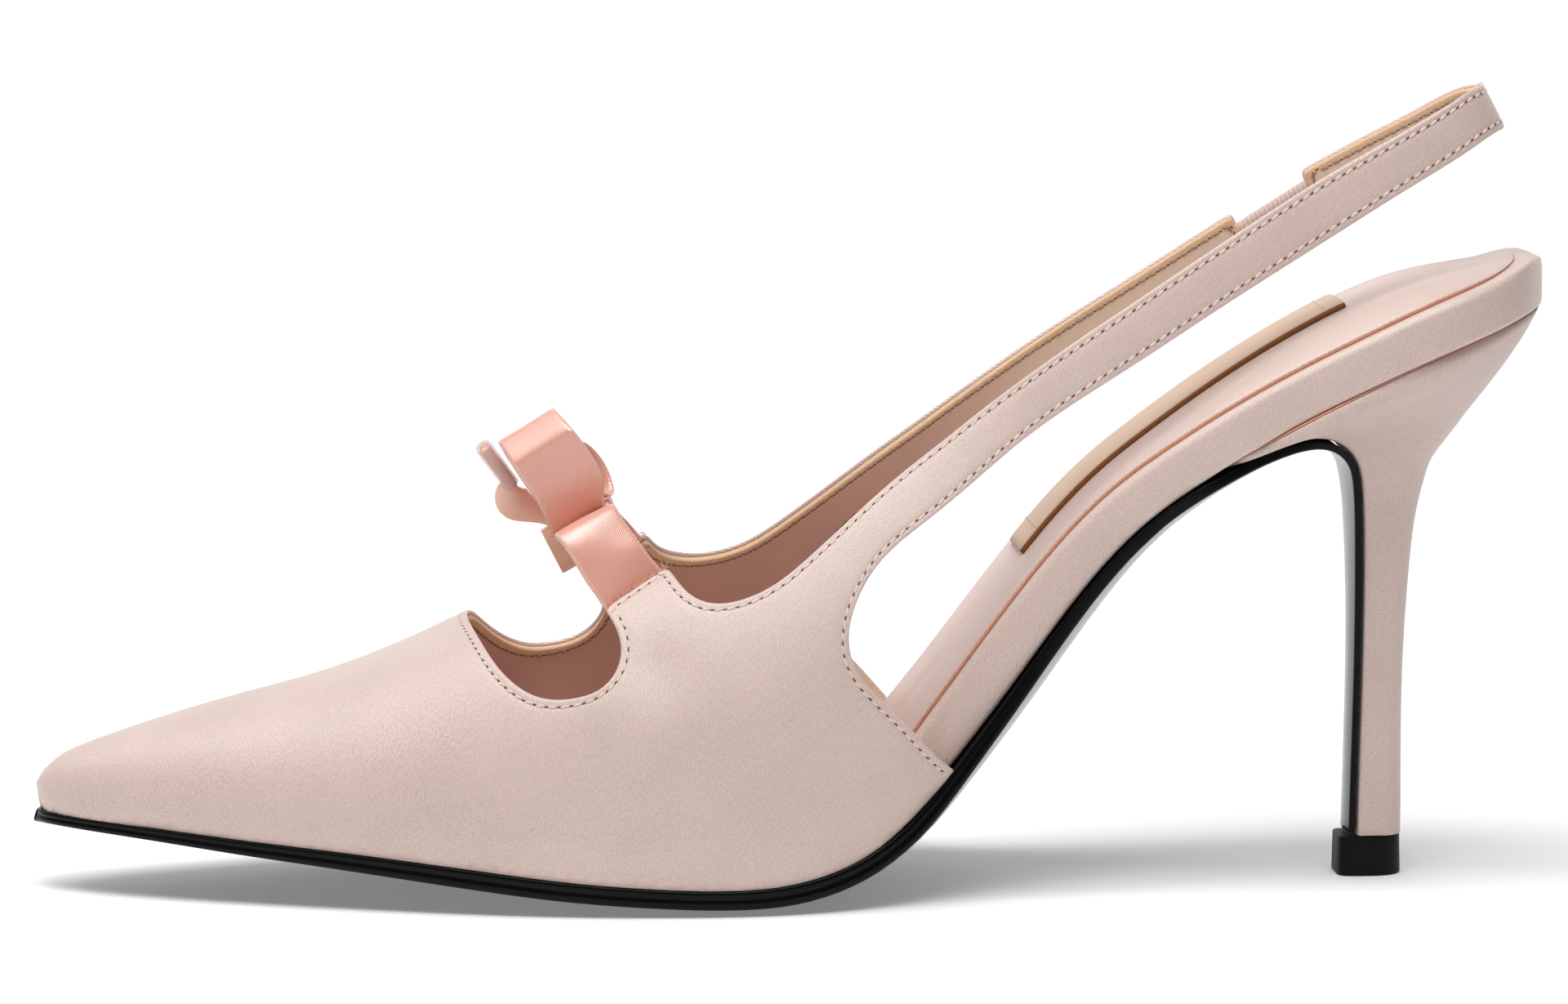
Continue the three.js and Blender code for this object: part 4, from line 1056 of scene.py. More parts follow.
def evenly(line, spacing):
    """Points along a line, about a spacing apart."""
    run = run_lengths(line)
    places = np.linspace(0, run[-1], max(2, int(round(run[-1] / spacing)) + 1))
    return np.stack([np.interp(places, run, line[:, k]) for k in range(line.shape[1])], axis=1)


def eased(line, sweeps):
    """The line with its corners rounded, ends kept."""
    line = line.copy()
    for _ in range(sweeps):
        line[1:-1] = (line[:-2] + 2 * line[1:-1] + line[2:]) / 4
    return line


def inset(line, depth):
    """The line moved in to its left by a depth."""
    tangent = np.gradient(line, axis=0)
    tangent /= np.linalg.norm(tangent, axis=1)[:, None]
    return line + depth * np.stack([-tangent[:, 1], tangent[:, 0]], axis=1)


EDGE_STEP = 0.7  # between points along an edge
SOLE_STEP = 1.0  # and along the sole line
CORNER_SWEEPS = 3
STITCH_INSET = 1.15  # from the folded edge to the stitches
LINING_INSET = 1.45  # and to where they come out inside, because the needle slants
# Rows along the border of the satin, the first of which ends its rounded fold, and along the lining's.
SATIN_RIM = (0.75, STITCH_INSET, 1.55, 2.1, 2.8)
LINING_RIM = (1.25, LINING_INSET, 2.0, 2.8)
ROW_CLEAR = 0.93  # share of its depth that a row keeps from every edge
FIELD_STEP = 1.9  # between points inside the border
FIELD_ROW = 0.87  # between their rows, as a share of that
FIELD_CLEAR = 0.7  # and from the border
# How far the points inside keep from the sole line, the toe and the back of the strap.
FIELD_REACH = SimpleNamespace(sole=0.8, toe=0.7, back=0.5)
# Folded edge of the satin: how far in, and how deep as a share of its thickness.
FOLD = (
    (0.42, 0.025), (0.17, 0.125), (0.04, 0.25), (0, 0.375), (0.04, 0.525), (0.14, 0.725), (0.32, 0.9125),
)
LINING_GAP = 0.04  # between satin and lining
# Cut edge of the lining: how far in, and how deep from its outer face or from its inner one.
CUT_OUTER = ((0.5, 0), (0.36, 0.04), (0.3, 0.14))
CUT_INNER = ((0.3, -0.35), (0.37, -0.12), (0.6, 0))
SATIN_DENT = 0.16  # how deep the stitches sink into the satin
LINING_DENT = 0.06  # and into the lining
DENT_SPREAD = 0.4  # how far from the row the dent fades out
WELD = 0.02  # distance within which points of the upper are merged


def strap_edge(column, start, end):
    """(x, height) rows of the strap's top or bottom edge between two places."""
    xs = [row[0] for row in STRAP_ROWS]
    curve = smooth(xs, [row[column] for row in STRAP_ROWS])
    kept = sorted({start, end, *(x for x in xs if start < x < end)})
    return [(x, float(strap_axis(x) + curve(x))) for x in kept]


def upper_edges():
    """Free edges of the upper in its pattern, each with the upper on its left."""
    strap_start = STRAP_ROWS[0][0]

    def top(side, start, end):
        return to_pattern(strap_edge(1, start, end), side)

    def bottom(side, start, end):
        return to_pattern(strap_edge(2, start, end), side)

    def collar(side, end):
        controls = np.concatenate([to_pattern(COLLAR[side], side), top(side, strap_start, end)])
        return through(controls, EDGE_STEP)

    def rear(side, end):
        controls = np.concatenate([to_pattern(REAR_EDGE[side], side), bottom(side, strap_start, end)])
        return through(controls, EDGE_STEP)

    def across(x, side):
        ends = np.concatenate([top(side, x, LOOP_END)[:1], bottom(side, x, LOOP_END)[:1]])
        return through(ends, EDGE_STEP)

    crown = [(float(np.interp(round_ended(TOE_TIP, LOOP_END, CROWN_EDGE), ANGLES, ALONG)), 0.0)]
    outer_cut = to_pattern(CUT_OUT, -1)
    inner_cut = to_pattern([*CUT_OUT[:-1], WING[1][0]], 1)
    cut_out = through(np.concatenate([outer_cut[::-1], crown, inner_cut]), EDGE_STEP)
    wings = {side: through(to_pattern(WING[side], side), EDGE_STEP) for side in (-1, 1)}
    low = rear(-1, LOOP_END)
    main = [
        collar(-1, LOOP_END)[::-1], wings[-1][::-1], cut_out, wings[1], collar(1, ELASTIC.start),
        across(ELASTIC.start, 1), rear(1, ELASTIC.start)[::-1],
    ]
    back = [
        through(bottom(1, ELASTIC.end, LOOP_END), EDGE_STEP)[::-1],
        across(ELASTIC.end, 1)[::-1],
        through(top(1, ELASTIC.end, LOOP_END), EDGE_STEP),
    ]

    def joined(lines):
        whole = [lines[0]] + [line[1:] for line in lines[1:]]
        return eased(evenly(np.concatenate(whole), EDGE_STEP), CORNER_SWEEPS)

    return SimpleNamespace(low=eased(low, CORNER_SWEEPS), main=joined(main), back=joined(back))


def upper_pattern(edges, border):
    """Triangles of the upper's pattern inside its rounded border, with rows of points along that."""
    rims = {name: inset(line, border[0]) for name, line in vars(edges).items()}
    end = ALONG[-1]
    for name, ends in (("low", (-1,)), ("main", (0,)), ("back", (0, -1))):
        for k in ends:
            rims[name][k, 0] = end

    def sole_line(side, limit):
        stops = np.arange(0, limit - 0.4 * SOLE_STEP, SOLE_STEP)
        angle = np.interp(stops, ALONG, ANGLES)
        lengths = pattern_row(angle, np.full(len(stops), side))[:, -1]
        return np.stack([stops, side * lengths], axis=1)

    def between(first, last):
        count = max(2, int(round(np.linalg.norm(last - first) / EDGE_STEP)))
        return np.linspace(first, last, count + 1)[1:-1]

    outer_sole = sole_line(-1, rims["low"][0, 0])
    inner_sole = sole_line(1, rims["main"][-1, 0])[::-1]
    loops = [
        [("outer_sole", outer_sole), ("low", rims["low"]), ("", between(rims["low"][-1], rims["main"][0])),
         ("main", rims["main"]), ("inner_sole", inner_sole), ("", between(inner_sole[-1], outer_sole[0]))],
        [("back", rims["back"]), ("", between(rims["back"][-1], rims["back"][0]))],
    ]
    places = []
    borders = {}
    constraints = []
    for loop in loops:
        first = len(places)
        for name, line in loop:
            if name:
                borders[name] = list(range(len(places), len(places) + len(line)))
            places.extend(map(tuple, line))
        ring = list(range(first, len(places)))
        constraints += list(zip(ring, ring[1:] + ring[:1]))
    borders["outer_sole"].append(borders["low"][0])
    borders["inner_sole"].insert(0, borders["main"][-1])

    free = np.concatenate(list(vars(edges).values()))
    near = KDTree(len(free))
    for i, (a, b) in enumerate(free):
        near.insert((a, b, 0), i)
    near.balance()

    def clearance(place):
        return near.find((*place, 0))[2]

    extra = []
    for line in vars(edges).values():
        for depth in border[1:]:
            extra += [p for p in inset(line, depth)[1:-1] if clearance(p) > ROW_CLEAR * depth]
    top = max(-outer_sole[:, 1].min(), inner_sole[:, 1].max())
    field_start = border[-1] + FIELD_CLEAR * FIELD_STEP
    for i, b in enumerate(np.arange(-top, top, FIELD_STEP * FIELD_ROW)):
        for a in np.arange(1.0 + (i % 2) * FIELD_STEP / 2, end - 1, FIELD_STEP):
            if clearance((a, b)) > field_start:
                extra.append((a, b))
    extra = np.asarray(extra)
    angle = np.interp(extra[:, 0], ALONG, ANGLES)
    side = np.where(extra[:, 1] < 0, -1, 1)
    reach = pattern_row(angle, side)[:, -1] - np.abs(extra[:, 1])
    along = extra[:, 0]
    extra = extra[
        (reach > FIELD_REACH.sole) & (along > FIELD_REACH.toe) & (along < end - FIELD_REACH.back)]

    given = [Vector(p) for p in places] + [Vector(p) for p in extra]
    verts, _, faces, origin, _, _ = delaunay_2d_cdt(given, constraints, [], 1, 1e-6)
    used = sorted({i for f in faces for i in f})
    kept = {old: new for new, old in enumerate(used)}
    found = {}
    for new, olds in enumerate(origin):
        for old in olds:
            found[old] = kept.get(new)
    inside = [verts[i] for i in used]
    return SimpleNamespace(
        places=np.array([tuple(v) for v in inside]),
        faces=[[kept[i] for i in f] for f in faces],
        borders={name: [found[i] for i in line] for name, line in borders.items()},
        edges=edges,
        clearance=np.array([clearance(v) for v in inside]),
    )


def shell(pattern, outside, inside, profile, sewn, sunk):
    """Closed sheet over the pattern between two depths: points, faces, places and kinds of face.

    Its free edges follow a profile of (inset, depth), and stitches sink into it at the inset sewn.
    Kinds are 0 outside, 1 inside and 2 along the edges.
    """
    dent = sunk * np.exp(-((pattern.clearance - sewn) / DENT_SPREAD) ** 2)
    points = [wall(pattern.places, outside + dent)[0], wall(pattern.places, inside - dent)[0]]
    places = [pattern.places, pattern.places]
    count = len(pattern.places)
    faces = list(pattern.faces) + [[i + count for i in f[::-1]] for f in pattern.faces]
    kinds = [0] * len(pattern.faces) + [1] * len(pattern.faces)
    total = 2 * count
    columns = {}
    for name in ("low", "main", "back"):
        line = pattern.borders[name]
        stack = [line]
        for depth_in, depth in profile:
            ring = inset(getattr(pattern.edges, name), depth_in)
            if name in ("low", "back"):
                ring[-1, 0] = ALONG[-1]
            if name in ("main", "back"):
                ring[0, 0] = ALONG[-1]
            points.append(wall(ring, depth)[0])
            places.append(ring)
            stack.append(list(range(total, total + len(ring))))
            total += len(ring)
        stack.append([i + count for i in line])
        columns[name] = stack
        for level in range(len(stack) - 1):
            first, second = stack[level], stack[level + 1]
            for k in range(len(line) - 1):
                faces.append([first[k + 1], first[k], second[k], second[k + 1]])
                kinds.append(2)
    for name in ("outer_sole", "inner_sole"):
        line = pattern.borders[name]
        for p, q in zip(line, line[1:]):
            faces.append([q, p, p + count, q + count])
            kinds.append(2)
    faces.append([ring[0] for ring in columns["low"]][::-1])
    faces.append([ring[-1] for ring in columns["main"]])
    kinds += [2, 2]
    return np.concatenate(points), faces, np.concatenate(places), kinds


def make_upper():
    """Satin with its edges folded in, and the lining cut back from the fold. Returns the edges."""
    edges = upper_edges()
    satin_mm = sizes().satin / MM
    wall_mm = sizes().wall / MM
    pattern = upper_pattern(edges, SATIN_RIM)
    fold = [(step, depth * satin_mm) for step, depth in FOLD]
    points, faces, places, _ = shell(pattern, 0.0, satin_mm, fold, STITCH_INSET, SATIN_DENT)
    uv = corner_places(places, faces)
    make_piece("upper", points, faces, ["satin"], ["upper"], uv, weld=WELD)

    pattern = upper_pattern(edges, LINING_RIM)
    start = satin_mm + LINING_GAP
    cut = [(step, start + depth) for step, depth in CUT_OUTER]
    cut += [(step, wall_mm + depth) for step, depth in CUT_INNER]
    points, faces, places, kinds = shell(pattern, start, wall_mm, cut, LINING_INSET, LINING_DENT)
    uv = corner_places(places, faces)
    kinds = [1 if kind == 2 else 0 for kind in kinds]
    make_piece("upper_lining", points, faces, ["lining", "raw edge"], (), uv, kinds, WELD)
    return edges


# Stitching

NEEDLE_HOLE = 0.26  # width of a needle hole
NEEDLE_SLIT = 2.7  # its length in widths
STITCH_SLANT = 0.2  # how far a stitch is turned from its row, in radians
THREAD_FLAT = 0.42  # half heights of stitch and hole, as shares of their widths
HOLE_FLAT = 0.3
STITCH_DEPTH = 0.09  # how deep the middle of a stitch lies below the satin's face
LINING_STITCH_DEPTH = 0.04  # and below the lining's


def add_inputs(tree, kind, values):
    """Named inputs of a tree, with their defaults."""
    for name, value in values.items():
        socket = tree.interface.new_socket(name, in_out="INPUT", socket_type=kind)
        if value is not None:
            socket.default_value = value


def stitch_values(**changes):
    """Sizes of a row of stitches."""
    usual = {"Pitch": sizes().stitch_pitch, "Length": sizes().stitch_length, "Width": sizes().thread,
             "Hole": NEEDLE_HOLE * MM, "Slant": STITCH_SLANT}
    return {**usual, **changes}


def stitch_tree():
    """Stitches along edges that carry an outward direction, with a needle hole after each."""
    tree = bpy.data.node_groups.new("stitch row", "GeometryNodeTree")
    add_inputs(tree, "NodeSocketGeometry", {"Path": None})
    add_inputs(tree, "NodeSocketFloat", stitch_values())
    add_inputs(tree, "NodeSocketMaterial", {"Thread": None, "Shade": None})
    tree.interface.new_socket("Stitches", in_out="OUTPUT", socket_type="NodeSocketGeometry")

    entry = node(tree, "NodeGroupInput").outputs
    curve = node(tree, "GeometryNodeMeshToCurve", {"Mesh": entry["Path"]})
    even = node(tree, "GeometryNodeResampleCurve", {
        "Curve": curve.outputs["Curve"], "Length": entry["Pitch"]}, mode="LENGTH")
    out = node(tree, "GeometryNodeInputNamedAttribute", {"Name": "outward"}, data_type="FLOAT_VECTOR")
    tangent = node(tree, "GeometryNodeInputTangent")
    lie = node(tree, "FunctionNodeAxesToRotation", {
        "Primary Axis": tangent.outputs["Tangent"], "Secondary Axis": out.outputs["Attribute"],
    }, primary_axis="X", secondary_axis="Z")
    twist = node(tree, "FunctionNodeAxisAngleToRotation", {"Axis": (0, 0, 1), "Angle": entry["Slant"]})
    turned = node(tree, "FunctionNodeRotateRotation", {
        "Rotation": lie.outputs["Rotation"], "Rotate By": twist.outputs["Rotation"],
    }, rotation_space="LOCAL")

    def beans(length, width, flat, points, material, wanted=True):
        """Flattened balls at the points, turned as the stitches lie."""
        half = [node(tree, "ShaderNodeMath", {0: whole, 1: share}, operation="MULTIPLY")
                for whole, share in ((length, 0.5), (width, 0.5), (width, flat))]
        size = node(tree, "ShaderNodeCombineXYZ", {
            axis: part.outputs[0] for axis, part in zip("XYZ", half)})
        ball = node(tree, "GeometryNodeMeshUVSphere", {"Segments": 8, "Rings": 6, "Radius": 1.0})
        bean = node(tree, "GeometryNodeTransform", {
            "Geometry": ball.outputs["Mesh"], "Scale": size.outputs[0]})
        placed = node(tree, "GeometryNodeInstanceOnPoints", {
            "Points": points, "Instance": bean.outputs["Geometry"],
            "Rotation": turned.outputs["Rotation"], "Selection": wanted})
        real = node(tree, "GeometryNodeRealizeInstances", {"Geometry": placed.outputs["Instances"]})
        soft = node(tree, "GeometryNodeSetShadeSmooth", {"Geometry": real.outputs["Geometry"]})
        return node(tree, "GeometryNodeSetMaterial", {
            "Geometry": soft.outputs["Geometry"], "Material": material}).outputs["Geometry"]

    half_pitch = node(tree, "ShaderNodeMath", {0: entry["Pitch"], 1: 0.5}, operation="MULTIPLY")
    shift = node(tree, "ShaderNodeVectorMath", {
        0: tangent.outputs["Tangent"], "Scale": half_pitch.outputs[0]}, operation="SCALE")
    moved = node(tree, "GeometryNodeSetPosition", {
        "Geometry": even.outputs["Curve"], "Offset": shift.outputs["Vector"]})
    threads = beans(entry["Length"], entry["Width"], THREAD_FLAT, even.outputs["Curve"], entry["Thread"])
    last = node(tree, "GeometryNodeCurveEndpointSelection", {"Start Size": 0, "End Size": 1})
    before_last = node(tree, "FunctionNodeBooleanMath", {0: last.outputs["Selection"]}, operation="NOT")
    slit = node(tree, "ShaderNodeMath", {0: entry["Hole"], 1: NEEDLE_SLIT}, operation="MULTIPLY")
    holes = beans(slit.outputs[0], entry["Hole"], HOLE_FLAT, moved.outputs["Geometry"], entry["Shade"],
                  before_last.outputs[0])
    both = node(tree, "GeometryNodeJoinGeometry")
    tree.links.new(threads, both.inputs[0])
    tree.links.new(holes, both.inputs[0])
    node(tree, "NodeGroupOutput", {"Stitches": both.outputs[0]})
    return tree


def sew(name, lines, thread="thread", **changes):
    """Rows of stitches along lines, with the sizes that differ from the usual ones."""
    values = {**stitch_values(**changes), "Thread": finish(thread), "Shade": finish("hole")}
    tree = bpy.data.node_groups.get("stitch row") or stitch_tree()
    grow(name, lines, tree, values)


def grow(name, lines, tree, values):
    """Runs a tree along lines of (points in mm, outward directions) and keeps the result as a mesh."""
    points = np.concatenate([line[0] for line in lines]) * MM
    outward = np.concatenate([line[1] for line in lines])
    edges = []
    start = 0
    for line, _ in lines:
        edges += [(start + i, start + i + 1) for i in range(len(line) - 1)]
        start += len(line)
    mesh = bpy.data.meshes.new(name + " path")
    mesh.from_pydata(points.tolist(), edges, [])
    mesh.attributes.new("outward", "FLOAT_VECTOR", "POINT").data.foreach_set("vector", outward.ravel())
    path = bpy.data.objects.new(name + " path", mesh)
    bpy.context.scene.collection.objects.link(path)
    grown = path.modifiers.new(tree.name, "NODES")
    grown.node_group = tree
    named = {item.name: item.identifier for item in tree.interface.items_tree if item.in_out == "INPUT"}
    for key, value in values.items():
        grown[named[key]] = value
    graph = bpy.context.evaluated_depsgraph_get()
    made = bpy.data.meshes.new_from_object(path.evaluated_get(graph))
    made.name = name
    path.modifiers.clear()
    bpy.data.objects.remove(path)
    bpy.data.meshes.remove(mesh)
    if not made.polygons:
        raise RuntimeError("nothing was made for " + name)
    put(made, name)


# Loose fibres of the ribbon's ends.
FIBRE = {"Spacing": 0.16 * MM, "Length": 1.5 * MM, "Width": 0.13 * MM}
FIBRE_DEPTH = 0.3  # how deep they start below the satin's face
FIBRE_OUT = 0.3  # how far they lean out, as a share of how far they stand up
FIBRE_STEP = 0.5  # between points of the line that they stand on


def fray_tree():
    """Loose fibres standing up from edges that carry an outward direction."""
    tree = bpy.data.node_groups.new("frayed edge", "GeometryNodeTree")
    add_inputs(tree, "NodeSocketGeometry", {"Path": None})
    add_inputs(tree, "NodeSocketFloat", FIBRE)
    add_inputs(tree, "NodeSocketMaterial", {"Fibre": None})
    tree.interface.new_socket("Fibres", in_out="OUTPUT", socket_type="NodeSocketGeometry")

    entry = node(tree, "NodeGroupInput").outputs
    curve = node(tree, "GeometryNodeMeshToCurve", {"Mesh": entry["Path"]})
    even = node(tree, "GeometryNodeResampleCurve", {
        "Curve": curve.outputs["Curve"], "Length": entry["Spacing"]}, mode="LENGTH")
    tip = node(tree, "ShaderNodeCombineXYZ", {"Z": entry["Length"]})
    bent = node(tree, "ShaderNodeMath", {0: entry["Length"], 1: 0.35}, operation="MULTIPLY")
    middle = node(tree, "ShaderNodeCombineXYZ", {"X": bent.outputs[0], "Z": bent.outputs[0]})
    fibre = node(tree, "GeometryNodeCurveQuadraticBezier", {
        "Resolution": 5, "Start": (0, 0, 0), "Middle": middle.outputs[0], "End": tip.outputs[0]})
    radius = node(tree, "ShaderNodeMath", {0: entry["Width"], 1: 0.5}, operation="MULTIPLY")
    circle = node(tree, "GeometryNodeCurvePrimitiveCircle", {
        "Resolution": 5, "Radius": radius.outputs[0]})
    strand = node(tree, "GeometryNodeCurveToMesh", {
        "Curve": fibre.outputs["Curve"], "Profile Curve": circle.outputs["Curve"], "Fill Caps": True})
    out = node(tree, "GeometryNodeInputNamedAttribute", {"Name": "outward"}, data_type="FLOAT_VECTOR")
    stand = node(tree, "FunctionNodeAlignRotationToVector", {"Vector": out.outputs["Attribute"]}, axis="Z")
    stray = node(tree, "FunctionNodeRandomValue", {
        0: (-0.7, -0.7, -3.1), 1: (0.7, 0.7, 3.1), "Seed": 11}, data_type="FLOAT_VECTOR")
    lean = node(tree, "FunctionNodeEulerToRotation", {"Euler": stray.outputs[0]})
    turned = node(tree, "FunctionNodeRotateRotation", {
        "Rotation": stand.outputs["Rotation"], "Rotate By": lean.outputs["Rotation"],
    }, rotation_space="LOCAL")
    scale = node(tree, "FunctionNodeRandomValue", {2: 0.4, 3: 1.0, "Seed": 23}, data_type="FLOAT")
    placed = node(tree, "GeometryNodeInstanceOnPoints", {
        "Points": even.outputs["Curve"], "Instance": strand.outputs["Mesh"],
        "Rotation": turned.outputs["Rotation"], "Scale": scale.outputs[1]})
    real = node(tree, "GeometryNodeRealizeInstances", {"Geometry": placed.outputs["Instances"]})
    done = node(tree, "GeometryNodeSetMaterial", {
        "Geometry": real.outputs["Geometry"], "Material": entry["Fibre"]})
    node(tree, "NodeGroupOutput", {"Fibres": done.outputs["Geometry"]})
    return tree


def make_fray():
    """Frayed ribbon ends where the bands go in under the wings."""
    lines = []
    for side in (-1, 1):
        line = evenly(to_pattern(WING[side], side), FIBRE_STEP)[1:]
        points, out = wall(line, FIBRE_DEPTH)
        step = np.array((0, 0.4 * side))
        crownward = on_last(line - step) - on_last(line + step)
        crownward /= np.linalg.norm(crownward, axis=1)[:, None]
        lines.append((points, crownward + FIBRE_OUT * out))
    tree = bpy.data.node_groups.get("frayed edge") or fray_tree()
    grow("ribbon_fray", lines, tree, {"Fibre": finish("fibre")})


def make_stitching(edges):
    """Row of stitches along each edge of the upper, outside and inside."""
    wall_mm = sizes().wall / MM
    outside = []
    within = []
    for line in vars(edges).values():
        points, out = wall(inset(line, STITCH_INSET)[2:-2], STITCH_DEPTH)
        outside.append((points, out))
        points, out = wall(inset(line, LINING_INSET)[2:-2], wall_mm - LINING_STITCH_DEPTH)
        within.append((points, -out))
    sew("upper_stitching", outside)
    sew("lining_stitching", within, "lining thread", Slant=-STITCH_SLANT)


def make_elastic():
    """Strip of elastic whose ends run in under the strap."""
    rounding = np.array([ELASTIC.rounding] + [0.0] * 7 + [ELASTIC.rounding])
    rings = []
    for x in np.linspace(ELASTIC.start - ELASTIC.tuck, ELASTIC.end + ELASTIC.tuck, 24):
        heights = np.linspace(ELASTIC.bottom, ELASTIC.top, len(rounding)) + strap_axis(x)
        places = to_pattern([(x, z) for z in heights], 1)
        buried = min(1.0, max(0.0, ELASTIC.start - x, x - ELASTIC.end) / ELASTIC.ease)
        depth = ELASTIC.depth + ELASTIC.sunk * buried
        thick = ELASTIC.thick * (1 - ELASTIC.thinner * buried)
        front = wall(places, depth + rounding)[0]
        rear = wall(places, depth + thick - rounding)[0]
        rings.append(np.concatenate([front, rear[::-1]]))
    points, faces, uv = loft(rings)
    make_piece("elastic", points, faces, ["elastic"], ["elastic"], uv)


# Bottom

def board_at(x):
    """Half widths, thickness, upward direction and middle of the insole board's underside at x."""
    slope = BOTTOM.height(x + 0.5) - BOTTOM.height(x - 0.5)
    t = np.clip((x - SEAT_LEVELS[0]) / (SEAT_LEVELS[1] - SEAT_LEVELS[0]), 0, 1)
    level = t * t * (3 - 2 * t)
    up = np.array((-slope, 0, 1)) / math.hypot(slope, 1)
    up = unit(up + (np.array((0, 0, 1)) - up) * level)
    return SimpleNamespace(
        outer=max(0.4, float(BOTTOM.outer(x) - BOARD.inset(x))),
        inner=max(0.4, float(BOTTOM.inner(x) - BOARD.inset(x))),
        thick=float(BOARD.thick(x) / max(0.6, 1 + (up[2] - 1) * level)),
        up=up, base=np.array((x, 0, float(BOTTOM.height(x)))))


def board_point(board, y, rise):
    """Point over the board's underside, sideways by y."""
    return board.base + board.up * rise + np.array((0, y, 0))


def stations():
    """Places along the shoe, closer together towards its ends."""
    return TOE + (SEAT_BACK - TOE) * (1 - np.cos(np.pi * np.arange(STATIONS + 1) / STATIONS)) / 2


def side_up(line, i):
    """Upward direction of a line in the side view, at one of its points."""
    before = line[max(0, i - 1)]
    after = line[min(len(line) - 1, i + 1)]
    forward = unit(np.array((after[0] - before[0], 0, after[1] - before[1])))
    return np.array((-forward[2], 0, forward[0]))


def make_outsole():
    """Black sole: its rows follow the board up to the waist and then run down the front of the heel."""
    rows = [(x, BOTTOM.height(x), BOTTOM.outer(x) + SOLE_LIP, BOTTOM.inner(x) + SOLE_LIP,
             SOLE.edge(x), SOLE.bulge(x))
            for x in stations()[1:] if x < WAIST_END - BREAST_LEAD[1]]
    lead = []
    for ahead in BREAST_LEAD:
        x = WAIST_END - ahead
        half = (BOTTOM.outer(x) + BOTTOM.inner(x)) / 2 + SOLE_LIP
        lead.append((x, BOTTOM.height(x), half, SOLE.edge(x), SOLE.bulge(x)))
    for r in fill(BREAST, [*lead, *BREAST_ROWS], BREAST_PARTS)[BREAST_PARTS + 1:]:
        rows.append((r.x, r.height, r.half, r.half, r.edge, r.bulge))
    line = [(r[0], r[1]) for r in rows]

    def ring(up, x, z, outer, inner, edge, bulge):
        beads = np.clip((GROOVE_END - x) / GROOVE_FADE, 0, 1)

        def at(y, depth):
            p = np.array((x, y, z)) - up * (GLUE + depth)
            p[2] = max(0.0, p[2])
            return p

        def half(width, sign):
            scale = min(1.0, width / NARROW_SOLE)
            border = []
            for (bead_in, bead_down), (plain_in, plain_down) in zip(SOLE_EDGE, PLAIN_EDGE):
                step = plain_in + (bead_in - plain_in) * beads
                down = plain_down + (bead_down - plain_down) * beads
                border.append(at(sign * (width - scale * step), down * edge))
            flat = width - SOLE_FLOOR_INSET * scale
            floor = [at(sign * flat * t, edge + bulge * (1 - t * t)) for t in SOLE_FLOOR]
            return border + floor

        return half(outer, -1) + [at(0, edge + bulge)] + half(inner, 1)[::-1]

    ups = [side_up(line, i) for i in range(len(rows))]
    rings = [ring(up, *row) for up, row in zip(ups, rows)]
    tip = rings[0]
    middle = np.mean(tip, axis=0)
    for ahead, size in SOLE_TIP:
        rings.insert(0, [middle + (p - middle) * size + np.array((-ahead, 0, 0)) for p in tip])
    points, faces, uv = loft(rings)
    around = len(rings[0])
    border = len(SOLE_EDGE)
    kinds = [0 if f < (len(rings) - 1) * around and border <= f % around < around - border else 1
             for f in range(len(faces))]
    make_piece("outsole", points, faces, ["sole", "sole edge"], ["outsole"], uv, kinds)


def make_board():
    """Insole board wrapped in satin, with rounded corners and slightly bulging sides."""
    turn = np.linspace(0, np.pi / 2, 6)

    def half(board, width, sign):
        low = min(BOARD_ROUND.low, width / 2, board.thick / 3)
        high = min(BOARD_ROUND.high, width / 2, board.thick / 3)
        top = board.thick - high
        under = [(width - low + low * math.sin(t), low - low * math.cos(t)) for t in turn]
        over = [(width - high + high * math.cos(t), top + high * math.sin(t)) for t in turn]
        face = [(width + BOARD_ROUND.bulge * math.sin(math.pi * t), low + (board.thick - low - high) * t)
                for t in (0.25, 0.5, 0.75)]
        return [board_point(board, sign * y, rise) for y, rise in under + face + over]

    boards = [board_at(x) for x in stations() if BOARD_TIP < x < SEAT_BACK - 0.02]
    rings = [half(board, board.outer, -1) + half(board, board.inner, 1)[::-1] for board in boards]
    points, faces, uv = loft(rings)
    make_piece("insole_rim", points, faces, ["satin"], ["insole_board"], uv)


def sock_widths(x):
    """Half widths of the sock on the outer and the inner side."""
    board = board_at(x)
    heelward = np.clip((x - SOCK.end + SOCK.round) / SOCK.round, 0, 1)
    close = math.sqrt(max(0.0, 1 - heelward * heelward))
    return [max(0.4, min(w - SOCK.inset, SOCK.seat * close)) for w in (board.outer, board.inner)]


def pad_dome(x, share):
    """Height of the sock's top without its creases."""
    return float(SOCK_PAD.edge(x) + SOCK_PAD.dome(x) * (1 - abs(share) ** PAD_FULL))


def pad_rise(x, share):
    """Height of the sock's top over its underside, at a signed share of its half width."""
    rise = pad_dome(x, share)
    for start, end, place, depth, spread in CREASES:
        if start < x < end:
            run = math.sin(math.pi * (x - start) / (end - start))
            wander = place + 0.04 * math.sin(x / 7 + 9 * place)
            rise -= depth * run * math.exp(-((share - wander) / spread) ** 2)
    return rise


